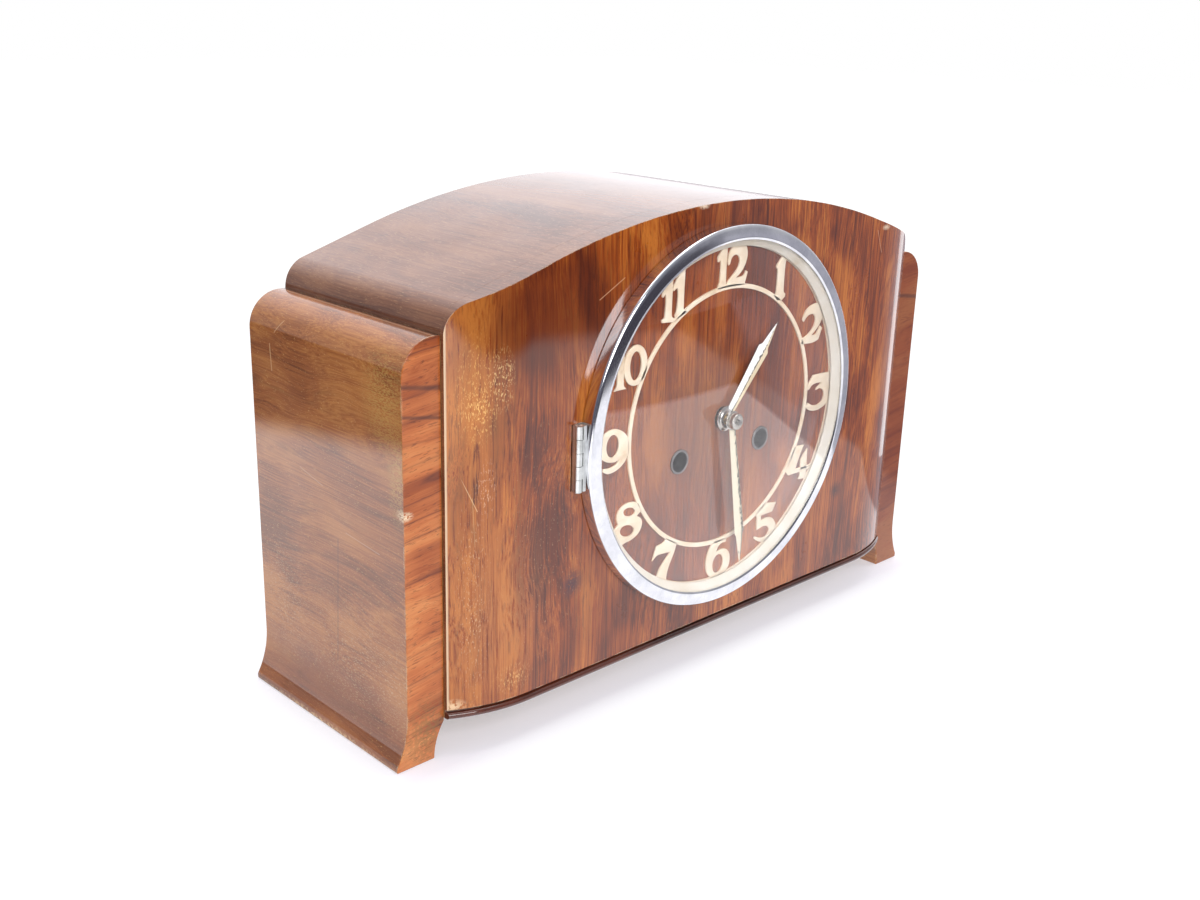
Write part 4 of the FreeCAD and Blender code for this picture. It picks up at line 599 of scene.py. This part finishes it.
def arcBetween(start, end, radius, side, steps):
    # points of the circle's arc from start to end whose centre lies on the given side of the chord
    start, end = np.array(start, float), np.array(end, float)
    chord = end - start
    span = np.linalg.norm(chord)
    normal = np.array([-chord[1], chord[0]]) / span
    centre = (start + end) / 2 + normal * side * math.sqrt(radius ** 2 - span ** 2 / 4)
    first = math.atan2(*(start - centre)[::-1])
    sweep = math.atan2(*(end - centre)[::-1]) - first
    sweep = (sweep + math.pi) % (2 * math.pi) - math.pi
    turn = first + sweep * np.linspace(0, 1, steps)
    return centre + radius * np.c_[np.cos(turn), np.sin(turn)]


def wingOutline():
    # right wing seen from the front: inner foot curve, toe, flare, outer side, rounded top corner
    flareTop = wing["toe"] + math.sqrt(wing["flare"] ** 2 - (wing["flare"] - wing["foot"] + wing["half"]) ** 2)
    crownLow = wing["top"] - wing["radius"]
    inner = arcBetween((case["half"], wing["rise"]), (case["half"] + wing["inset"], 0), wing["inner"], -1, 10)
    flare = arcBetween((wing["foot"], wing["toe"]), (wing["half"], flareTop), wing["flare"], -1, 16)
    side = np.c_[np.full(10, wing["half"]), np.linspace(flareTop, crownLow, 12)[1:-1]]
    crown = arcBetween((wing["half"], crownLow), (wing["half"] - wing["radius"], wing["top"]), wing["radius"], 1, 20)
    return np.concatenate([inner, [(wing["foot"], 0)], flare, side, crown, [(case["half"], wing["top"])]])


for side, name, node in ((-1, "wingLeft", "wing_left"), (1, "wingRight", "wing_right")):
    piece = makePiece(name, [extrudedShell(wingOutline() * (side, 1), wing["near"], wing["far"])], "case",
                      [wingVeneer, bandVeneer], 30, bevel=0.6)
    secondFinish(piece, lambda forward: forward < -0.7)
    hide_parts(node)

bead = {"low": 18.0, "high": 21.2, "proud": 1.3, "groove": 1.2, "top": 22.3, "radius": 1.6}


def beadMoulding():
    # a section of bead and groove carried along the bow; each section point is an offset ahead and a height
    curve = np.linspace(-math.pi / 2, math.pi / 2, 12)
    rounded = np.c_[bead["proud"] - bead["radius"] + bead["radius"] * np.cos(curve),
                    (bead["low"] + bead["high"]) / 2 + bead["radius"] * np.sin(curve)]
    section = np.concatenate([rounded, [(-bead["groove"], bead["high"]), (-bead["groove"], bead["top"])]])
    ends = np.linspace(case["flatHalf"], case["half"], 20)
    x = np.concatenate([-ends[::-1], np.linspace(-case["flatHalf"], case["flatHalf"], 30)[1:-1], ends])[:, None]
    back = np.full((len(x), 1), case["boardBack"])
    y = np.concatenate([bowDepth(x, -section[None, :, 0]), back, back], 1)
    z = np.concatenate([np.repeat(section[None, :, 1], len(x), 0), np.full_like(back, bead["top"]),
                        np.full_like(back, bead["low"])], 1)
    return cappedTube(np.stack([np.repeat(x, z.shape[1], 1), y, z], -1))


moulding = makePiece("baseMoulding", [beadMoulding()], "case", [mouldingWood], 40)
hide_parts("base_moulding")
print("case made")

ringProfile = softCorners([
    (94.3, -0.3, 0.1), (94.1, -6.75, 1.7), (88.1, -7.3, 0.45), (86.95, -6.8, 0.2), (88.35, -6.5, 0.1),
    (88.5, -0.4, 0.2)], 8)
ring = makePiece("bezelRing", [turnedShell(ringProfile, 256)], "bezel", [bezelChrome], 40)
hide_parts("bezel_ring")

pane = {"radius": 88.3, "seat": 6.4, "rise": 9.0, "thick": 1.5}


def domeProfile():
    # the outer arc from the middle to the rim, and the same arc set back by the thickness
    radius = (pane["radius"] ** 2 + pane["rise"] ** 2) / (2 * pane["rise"])
    r = np.linspace(0, pane["radius"], 26)
    outer = -pane["seat"] - pane["rise"] + radius - np.sqrt(radius ** 2 - r ** 2)
    return np.concatenate([np.c_[r, outer], np.c_[r[::-1], outer[::-1] + pane["thick"]]])


glass = makePiece("domeGlass", [turnedShell(domeProfile(), 160)], "bezel", [bezelGlass], 50)
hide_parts("door_glass")

sightProfile = softCorners([
    (88.3, -4.8, 0.2), (88.2, -3.9, 0.2), (84.4, -1.2, 0.6), (83.4, -1.2, 0.3), (83.35, -2.0, 0.3), (87.2, -4.8, 0.2)])
sight = makePiece("sightRing", [turnedShell(sightProfile)], "bezel", [creamPaint], 40)
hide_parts("sight_ring")
print("bezel made")

hinge = {"x": -97.5, "depth": -3.0, "half": 15.3, "knuckle": 1.7, "seam": 0.06, "capInset": 0.45}
leafOutline = softCorners([(-95.75, 112.9, 0.4), (-93.9, 112.9, 0.2), (-93.9, 143.2, 0.2), (-95.75, 143.2, 0.4)], 3)
makePiece("hingeLeafFace", [extrudedShell(leafOutline, -4.25, -0.7)], "bezel", [satinNickel], 40, bevel=0.15)
knuckleLong = 2 * hinge["half"] / 5
half, knuckle = knuckleLong / 2 - hinge["seam"], hinge["knuckle"]
knuckleProfile = [(0, -half), (knuckle - 0.1, -half), (knuckle, 0.1 - half), (knuckle, half - 0.1),
                  (knuckle - 0.1, half), (0, half)]
plateShells = [stood(turnedShell(knuckleProfile, 40, (0, 0)), hinge["x"], hinge["depth"],
                     case["dialZ"] + step * knuckleLong) for step in (-2, 0, 2)]
foldOutline = [(-98.9, -3.0), (-97.7, -3.0), (-96.6, -1.4), (-96.6, 1.15), (-98.9, 1.15)]
plateShells.append(stood(extrudedShell(foldOutline, -hinge["half"], hinge["half"]), 0, 0, case["dialZ"]))
plateShells.append(extrudedShell([(-97, 112.75), (-82.2, 112.75), (-82.2, 143.35), (-97, 143.35)], 0.05, 1.15))
plate = makePiece("hingePlateStrip", plateShells, "case", [satinNickel], 40)
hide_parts("hinge_plate")
capProfile = [(0, 0), (1.5, 0), (1.62, 0.12), (1.5, 0.3), (0, 0.42)]
makePiece("hingePinCaps", [stood(turnedShell(capProfile, 24, (0, 0)), hinge["x"], hinge["depth"],
                                 case["dialZ"] + end * (hinge["half"] - hinge["capInset"])) for end in (-1, 1)],
          "case", [nickel], 40)

# dial fret: rings and numerals; a point with a third number is a sharp corner, five bare numbers are an oval
fret = {"rings": ((63.2, 65.4), (83.3, 86.3)), "thick": 0.8, "edge": 0.12}
glyphs = {
    "one": [[(33, 197.9, 1), (33.7, 199.2), (38, 203.8, 1), (40.6, 201.8, 1), (39.8, 198.5), (39.7, 186.4), (40, 184.9),
        (41.3, 183.9, 1), (41, 182.4, 1), (38.6, 180.8, 1), (35, 181.4, 1), (32, 184.2, 1), (33.7, 184.4),
        (34.3, 186.2), (34.3, 196.7), (33.8, 197, 1)]],
    "two": [[(56.8, 168.5, 1), (57.9, 171.2), (60.4, 173.9), (64.4, 175.5), (69.5, 175.9, 1), (73.6, 168.8, 1),
        (71.5, 164.8), (68.4, 161.8), (64.8, 159.5, 1), (68.4, 159.4), (70.3, 161.3), (72, 163.5, 1), (73.6, 162.2, 1),
        (71.1, 156.4, 1), (66, 155.4), (57, 155.8, 1), (57.4, 158.6, 1), (61.4, 159.9), (64.8, 162.1), (67, 164.8),
        (67.4, 167.8), (65.6, 170.2), (62.2, 170.5), (59.6, 169.2), (58, 167.3, 1)]],
    "three": [[(64.5, 130.2, 1), (66.3, 133.8), (69.4, 137.7, 1), (83.6, 137.3, 1), (83.9, 121.5, 1), (80.5, 119.2),
        (74.2, 117.9), (68.5, 118.9), (64.3, 121.5, 1), (66.9, 123.2, 1), (70.2, 121.4), (74.6, 120.8), (78.2, 122.1),
        (79.7, 125.2), (78.6, 128.2), (75.6, 129.6), (72.6, 129.1, 1), (73.1, 130.3, 1), (77, 132.5, 1), (72.2, 132.9),
        (68.8, 132.2), (66.9, 130.4, 1)]],
    "four": [[(58.2, 101.2, 1), (66, 100.6, 1), (63, 95), (60.2, 88.4, 1), (73.9, 88.4, 1), (72.6, 86, 1),
        (69.6, 86, 1), (69.7, 83, 1), (68.8, 81.4, 1), (63.4, 82, 1), (64.4, 83.4), (64.5, 86, 1), (54.6, 86, 1),
        (52.2, 88.6, 1)]],
    "fourStem": [[(64.5, 87, 1), (64.2, 92.8, 1), (69.2, 98, 1), (69.7, 87, 1)]],
    "five": [[(29.6, 70.4, 1), (36.4, 75, 1), (46, 73.4, 1), (43.2, 68.8, 1), (34.2, 68.7, 1), (34.4, 66.1, 1),
        (38.2, 66.5), (43.5, 65.2), (46.6, 61.4), (46.9, 57.8, 1), (38.5, 53, 1), (33.4, 54.6), (29.8, 56.9, 1),
        (30.3, 58.1, 1), (36, 56), (40.2, 56.5), (41.6, 59), (39.8, 61.5), (36, 62.2), (31.4, 61.3, 1), (31, 68.2, 1)]],
    "six": [[(7.6, 61.2, 1), (7.4, 63.6, 1), (-1.6, 63.8, 1), (-4.8, 60.6), (-6.6, 56.5), (-6.9, 52), (-5.6, 47.5),
        (-2.4, 44, 1), (7.4, 43.8, 1), (10.3, 47), (11.2, 51), (10.2, 55), (7.2, 57.6), (3.4, 58.2), (0.4, 57.3, 1),
        (1.4, 59.8), (4, 61.3)], (2.05, 50.9, 4, 5, 0)],
    "seven": [[(-46.1, 65.2, 1), (-43.4, 72.3, 1), (-38.8, 73), (-36.8, 74.8, 1), (-29.2, 70.4, 1), (-30.2, 67.4),
        (-31.8, 64), (-33.8, 60.3), (-35.3, 56.2), (-35.8, 52, 1), (-42.6, 56, 1), (-40.8, 59.6), (-37.4, 63.2),
        (-33.2, 66.8, 1), (-42.4, 67.4), (-44.6, 66.4)]],
    "eight": [[(-71, 93.6), (-69.2, 97.2), (-64.8, 99.2), (-60, 98.9), (-56.6, 97.2, 1), (-55.4, 93, 1),
        (-57.8, 91.4, 1), (-54.9, 89.4), (-54.1, 86.4), (-56, 82.7), (-60.6, 80.3), (-65.4, 79.6), (-68.6, 78.3, 1),
        (-73, 84.6, 1), (-72.4, 87.4), (-70, 89.9, 1)], (-62.9, 94.6, 3.9, 2.1, -14), (-64, 85.5, 4.7, 2.8, -16)],
    "nine": [[(-84, 130.6, 1), (-82, 134.3), (-78, 136.6), (-73.2, 136.7), (-68.6, 134.6), (-65, 131, 1),
        (-64.6, 123.6, 1), (-67.2, 119.8), (-71.8, 117), (-77.2, 116.3), (-80.8, 117.9, 1), (-80.4, 119.3, 1),
        (-76.4, 118.9), (-72.6, 119.8), (-70.6, 121.5, 1), (-74.6, 121.2), (-79.2, 122.5), (-82.6, 125.2),
        (-84, 127.6, 1)], (-75, 129, 3.9, 5.3, 0)],
    "tenOne": [[(-75.2, 154.4, 1), (-73.6, 156.6), (-73.4, 169.8, 1), (-69.2, 176, 1), (-69.2, 156.4),
        (-67.6, 154.4, 1)]],
    "tenNought": [(-62.1, 164.3, 7.5, 9.4, 0), (-62, 164, 3.6, 6.7, 0)],
    "elevenFirst": [[(-46.9, 193.6, 1), (-46.3, 195.4), (-41.8, 201.4, 1), (-40, 201.8, 1), (-40, 184.2),
        (-39.2, 182.9), (-37.2, 182.2, 1), (-37.4, 180.6, 1), (-46.2, 181.3, 1), (-46.5, 182.6, 1), (-44.9, 183.2),
        (-44.4, 184.6), (-44.4, 193.9), (-46.2, 192.8, 1)]],
    "elevenSecond": [[(-39.9, 196, 1), (-39.2, 197.8), (-33.8, 205.5, 1), (-32.2, 205.8, 1), (-32.2, 186.4),
        (-31.2, 185), (-29.6, 184.4, 1), (-37.2, 181.2, 1), (-37.8, 183.6, 1), (-36.7, 185.8), (-36.7, 195.8),
        (-39.4, 195, 1)]],
    "twelveOne": [[(-10.3, 206, 1), (-10.1, 207.6), (-5.8, 212.6, 1), (-3.9, 212.6, 1), (-3.9, 195.4), (-3, 192.3, 1),
        (-9.8, 192, 1), (-9, 193.8), (-8.3, 195.4), (-8.3, 205.4), (-9.9, 204.9, 1)]],
    "twelveTwo": [[(-2.6, 202.6, 1), (-3.2, 205.2), (-2.2, 209), (0.5, 212.4, 1), (8.2, 212.4, 1), (10.2, 209.2),
        (10.5, 205), (8.7, 200.9), (5.8, 197.8), (2.8, 196.1, 1), (6.5, 196.3), (9, 196.9), (10.2, 198.9, 1),
        (11.5, 198.2, 1), (9.6, 192.2, 1), (-3.4, 192.3, 1), (-2.6, 194.8), (0.4, 197.4), (3.9, 200.4), (5.3, 203.2),
        (4.4, 206.2), (1.8, 207.2), (-0.6, 206), (-1.6, 203.2, 1)]],
}


def softLoop(points, steps=8):
    # a closed line through the points: Hermite spans whose ends are straight at sharp corners
    xy = np.array([p[:2] for p in points], float)
    sharp = np.array([len(p) > 2 for p in points])[:, None]
    before, after = np.roll(xy, 1, 0), np.roll(xy, -1, 0)
    slope = (after - before) / 2
    start, end = np.where(sharp, after - xy, slope), np.roll(np.where(sharp, xy - before, slope), -1, 0)
    span = np.linalg.norm(after - xy, axis=1, keepdims=True)
    p0, p1, m0, m1 = (v[:, None] for v in (
        xy, after, *(m / np.maximum(np.linalg.norm(m, axis=1, keepdims=True), 1e-6) * span for m in (start, end))))
    t = np.linspace(0, 1, steps, endpoint=False)[None, :, None]
    out = ((2 * t ** 3 - 3 * t ** 2 + 1) * p0 + (t ** 3 - 2 * t ** 2 + t) * m0
           + (-2 * t ** 3 + 3 * t ** 2) * p1 + (t ** 3 - t ** 2) * m1)
    return out.reshape(-1, 2)


def oval(x, height, wide, tall, degrees):
    # an ellipse about a centre, turned by its angle
    t = np.linspace(0, 2 * math.pi, 40, endpoint=False)
    turn = math.radians(degrees)
    a, b = wide * np.cos(t), tall * np.sin(t)
    return np.c_[x + a * math.cos(turn) - b * math.sin(turn), height + a * math.sin(turn) + b * math.cos(turn)]


def stampedPlate(loops):
    # closed loops filled as a flat plate with softened edges, counters left open; returned as (points, faces)
    curve = bpy.data.curves.new("stamp", "CURVE")
    curve.dimensions, curve.fill_mode = "2D", "BOTH"
    curve.extrude, curve.bevel_depth, curve.bevel_resolution = fret["thick"] / 2 - fret["edge"], fret["edge"], 1
    curve.offset = -fret["edge"]
    for loop in loops:
        line = curve.splines.new("POLY")
        line.points.add(len(loop) - 1)
        line.points.foreach_set("co", np.c_[loop, np.zeros(len(loop)), np.ones(len(loop))].ravel())
        line.use_cyclic_u = True
    holder = bpy.data.objects.new("stamp", curve)
    mesh = bpy.data.meshes.new_from_object(holder)
    points = np.empty(len(mesh.vertices) * 3)
    mesh.vertices.foreach_get("co", points)
    points = points.reshape(-1, 3)
    faces = [list(p.vertices) for p in mesh.polygons]
    bpy.data.objects.remove(holder)
    bpy.data.curves.remove(curve)
    return np.c_[points[:, 0], -fret["thick"] / 2 - points[:, 2], points[:, 1]], faces


rim = fret["edge"] * 1.5
ringShells = [turnedShell(softCorners([(inner, 0), (inner, -fret["thick"], rim), (outer, -fret["thick"], rim),
                                       (outer, 0)], 3), 256) for inner, outer in fret["rings"]]
rings = makePiece("fretRings", ringShells, "case", [fretCream], 50)
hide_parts("chapter_ring")
numeralShells = [stampedPlate([oval(*loop) if isinstance(loop, tuple) else softLoop(loop) for loop in loops])
                 for loops in glyphs.values()]
makePiece("fretNumerals", numeralShells, "case", [fretCream], 50)
print("dial made,", len(glyphs), "numeral shapes")

hands = {
    "hour": {"root": 2.3, "wide": 4.4, "neck": 2.7, "shoulder": 39.5, "length": 54.6, "angle": 38.8, "near": -2.6,
             "bend": 0.0, "ridge": 0.9, "finish": hourEnamel},
    "minute": {"root": 2.1, "wide": 3.4, "neck": 2.6, "shoulder": 62.0, "length": 80.0, "angle": 169.8, "near": -6.0,
               "bend": 1.3, "ridge": 0.75, "finish": minuteEnamel},
}


def bladeShell(hand):
    # grid over the length and across: half width from the lance's outline, front raised to a ridge in the middle
    along = np.concatenate([np.linspace(0, hand["shoulder"], 20), hand["shoulder"] + np.array([0.6, 1.2, 1.8]),
                            np.linspace(hand["shoulder"] + 3, hand["length"], 16)])
    width = np.interp(along, [0, hand["shoulder"], hand["shoulder"] + hand["wide"] - hand["neck"], hand["length"]],
                      [hand["root"], hand["wide"], hand["neck"], 0.2])[:, None]
    across = np.array([-1, -0.94, -0.5, -0.03, 0.03, 0.5, 0.94, 1, 1, -1.0])[None, :]
    lift = np.array([0.12, 0.34, 0.66, 1, 1, 0.66, 0.34, 0.12, 0, 0])[None, :]
    z = np.repeat(along[:, None], across.size, 1)
    back = hand["near"] + np.interp(along, [0, hand["shoulder"], hand["length"]], [0, 0, hand["bend"]])[:, None]
    y = back - hand["ridge"] * lift * np.clip(width / hand["root"], 0.4, 1)
    uv = np.stack([np.repeat(across, len(along), 0), z / hand["length"]], -1).reshape(-1, 2)
    return *cappedTube(np.stack([width * across, y, z], -1)), uv


for name, hand in hands.items():
    points, faces, uv = bladeShell(hand)
    c, s = math.cos(math.radians(hand["angle"])), math.sin(math.radians(hand["angle"]))
    turned = np.c_[points[:, 0] * c + points[:, 2] * s, points[:, 1],
                   -points[:, 0] * s + points[:, 2] * c + case["dialZ"]]
    blade = makePiece(name + "Blade", [(turned, faces)], name, [hand["finish"]], 12, keepPoints=True)
    layer = blade.data.uv_layers.new(name="alongHand")
    corner = np.empty(len(blade.data.loops), int)
    blade.data.loops.foreach_get("vertex_index", corner)
    layer.data.foreach_set("uv", uv[corner].ravel())
    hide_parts(name + "_hand")

colletProfile = softCorners([(2.95, -2.3), (2.95, -3.3, 0.2), (4.6, -3.4, 0.2), (5.0, -2.9, 0.2), (6.2, -2.7, 0.3),
                             (6.2, -2.0, 0.2)], 4)
makePiece("hourCollet", [turnedShell(colletProfile, 96)], "hour", [nickel], 40)


def knurled(radius, angle):
    # fine straight knurls: the outer wall's radius rises and falls 44 times round
    return radius + 0.13 * np.clip((radius - 3.2) / 0.6, 0, 1) * np.cos(44 * angle)


washerProfile = softCorners([(1.25, -6.6), (1.25, -7.1, 0.1), (4.7, -7.0, 0.3), (4.8, -6.6, 0.2)], 4)
nutProfile = softCorners([(1.2, -7.0), (1.2, -10.0, 0.1), (1.7, -10.2, 0.3), (3.6, -10.2, 0.5), (4.0, -9.6, 0.3),
                          (4.0, -7.6, 0.3), (3.5, -7.0, 0.3)], 4)
pinProfile = softCorners([(0, -6.9), (1.2, -6.9), (1.2, -11.2, 0.4), (0, -11.6)], 4)
nut = makePiece("handNut", [turnedShell(nutProfile, 176, wobble=knurled), turnedShell(washerProfile, 96)], "minute",
                [nickel], 50)
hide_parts("hand_nut")
makePiece("arborEnd", [turnedShell(pinProfile, 48)], "minute", [steel], 50)

grommetProfile = softCorners([(4.8, -0.7, 0.3), (6.1, -0.65, 0.35), (6.1, -0.02), (5.25, -0.02), (5.25, 11.9),
                              (4.8, 11.9)], 4)
grommets = makePiece("windingGrommets", [turnedShell(grommetProfile, 96, place) for place in windings], "case",
                     [dulledNickel], 40)
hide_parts("winding_grommets")
print("hands made")


def seenDirectly(add):
    # 1 for the camera's own rays and for those that only went through glass, else 0
    path = add("LightPath").node.outputs
    bounced = add("Math ADD", {0: path["Diffuse Depth"], 1: path["Glossy Depth"]})
    early = add("Math LESS_THAN", {0: bounced, 1: 0.5})
    through = add("Math MULTIPLY", {0: path["Is Transmission Ray"], 1: early})
    return add("Math MAXIMUM", {0: path["Is Camera Ray"], 1: through})


def paperSheet(add, sized, look):
    # seen directly it is white, with the clock's shade only close to its footprint; in gloss it is a lit sheet that
    # ends at three straight lines, each where its product with the place passes 1, with a dim floor beyond
    place = add("TexCoord", out="Object")
    ahead, aside, right, farRight = [add("VectorMath DOT_PRODUCT", {0: place, 1: line}) for line in look["lines"]]
    past = add("Math MAXIMUM", {0: ahead, 1: aside})
    past = add("Math MAXIMUM", {0: past, 1: right})
    sheet = add("Mix RGBA", {0: add("MapRange", {0: past, 1: 0.96, 2: 1.03}), 6: look["sheet"], 7: look["dark"]})
    beyond = add("MapRange", {0: right, 1: 0.97, 2: 1.03})
    beyond = add("Math MULTIPLY", {0: beyond, 1: add("MapRange", {0: farRight, 1: 0.0, 2: 0.14})})
    sheet = add("Mix RGBA", {0: beyond, 6: sheet, 7: look["side"]})
    centred = add("VectorMath SUBTRACT", {0: place, 1: look["footprintAt"]})
    folded = add("VectorMath ABSOLUTE", {0: centred})
    outside = add("VectorMath SUBTRACT", {0: folded, 1: look["footprintHalf"]})
    outside = add("VectorMath MAXIMUM", {0: outside, 1: (0, 0, 0)})
    reach = add("VectorMath LENGTH", {0: outside})
    litShare = add("ValToRGB", {0: reach}, look["shade"])
    lit = add("BsdfDiffuse", {"Color": look["lit"]})
    glow = add("Emission", {"Color": "ffffff", "Strength": look["glow"]})
    seen = add("MixShader", {0: litShare, 1: glow, 2: lit})
    bright = add("MapRange", {0: add("SeparateXYZ", {0: place}), 1: -0.2, 2: -0.4, 3: 1.35, 4: 2.4})
    mirrored = add("Emission", {"Color": sheet, "Strength": bright})
    other = add("MixShader", {0: add("LightPath", out="Is Glossy Ray"), 1: add("BsdfDiffuse", {"Color": sheet}),
                              2: mirrored})
    return add("MixShader", {0: seenDirectly(add), 1: other, 2: seen})


sheetLook = {
    "lines": ((0.41, -1.36, 0), (-1.80, 0.70, 0), (4.04, 1.98, 0), (1, 1, 0)), "sheet": "f4f4f9", "dark": "3c3a42",
    "side": "9c9ca6", "footprintAt": (0, 0.0065, 0), "footprintHalf": (0.182, 0.060, 0), "lit": "f6f3ff",
    "shade": [(0.0, 0.66), (0.012, 0.32), (0.04, 0.11), (0.15, 0.0)], "glow": 1.12, "half": 6, "drop": 0.0002,
}
floorMesh = bpy.data.meshes.new("floor")
floorMesh.from_pydata([(x * sheetLook["half"], y * sheetLook["half"], -sheetLook["drop"])
                       for x, y in ((-1, -1), (1, -1), (1, 1), (-1, 1))], [], [(0, 1, 2, 3)])
floor = bpy.data.objects.new("floor", floorMesh)
scene.collection.objects.link(floor)
floorMesh.materials.append(makeMaterial("paperSheetWhite", paperSheet, sheetLook))

# the room in the mirror of lacquer and glass: bright on the window's side and dim in front, white when seen directly
world = bpy.data.worlds.new("room")
scene.world = world
world.use_nodes = True
world.node_tree.nodes.clear()
add = partial(addNode, world.node_tree)
window = add("VectorMath DOT_PRODUCT", {0: add("TexCoord", out="Object"), 1: Vector((0.45, 0.75, 0.48)).normalized()})
room = add("ValToRGB", {0: add("MapRange", {0: window, 1: -0.6, 2: 1.0})},
           [(0.05, "6a6a78"), (0.20, "9c9ca8"), (0.34, "cecfd6"), (0.80, "f4f5fa")])
backdrop = add("MapRange", {0: window, 1: 0.60, 2: 0.87, 4: 0.98})
level = add("Math MULTIPLY_ADD", {0: backdrop, 1: add("LightPath", out="Is Glossy Ray"), 2: 0.75})
roomLight = add("Background", {"Color": room, "Strength": level})
white = add("Background", {"Color": "ffffff", "Strength": 1.0})
add("OutputWorld", {"Surface": add("MixShader", {0: seenDirectly(add), 1: roomLight, 2: white})})

lamps = {
    "frontSoft": {"at": (-0.7, -1.5, 1.0), "size": (1.1, 0.9), "watts": 23},
    "topSoft": {"at": (0.1, 0.2, 1.5), "size": (1.2, 1.2), "watts": 11},
    "rightSoft": {"at": (1.5, -0.8, 0.7), "size": (0.5, 0.9), "watts": 6, "mirrored": False},
    "lowStrip": {"at": (0.38, -0.030, 0.10), "aim": (0, -0.030, 0.10), "size": (0.05, 0.34), "watts": 0.07},
}
for name, lamp in lamps.items():
    lamp = {"aim": (0, 0, 0.1), "mirrored": True, **lamp}
    light = bpy.data.lights.new(name, "AREA")
    light.shape, light.size, light.size_y, light.energy = "RECTANGLE", *lamp["size"], lamp["watts"]
    holder = bpy.data.objects.new(name, light)
    holder.location, holder.visible_camera = lamp["at"], False
    holder.visible_glossy = holder.visible_transmission = lamp["mirrored"]
    holder.rotation_euler = (Vector(lamp["aim"]) - Vector(lamp["at"])).to_track_quat("-Z", "Y").to_euler()
    scene.collection.objects.link(holder)

# camera, from the photograph's own perspective
view = {"at": (-0.4766, -0.46169, 0.31618), "turn": -0.7738437, "tilt": 0.3209243, "roll": 0.0286817,
        "lens": 40.107, "sensor": 36.0}
cameraData = bpy.data.cameras.new("camera")
cameraData.lens, cameraData.sensor_width, cameraData.clip_start = view["lens"], view["sensor"], 0.01
camera = bpy.data.objects.new("camera", cameraData)
camera.matrix_world = (Matrix.Translation(view["at"]) @ Matrix.Rotation(view["turn"], 4, "Z")
                       @ Matrix.Rotation(math.pi / 2 - view["tilt"], 4, "X") @ Matrix.Rotation(view["roll"], 4, "Z"))
scene.collection.objects.link(camera)
scene.camera = camera
print("studio and camera made")

bpy.context.view_layer.update()
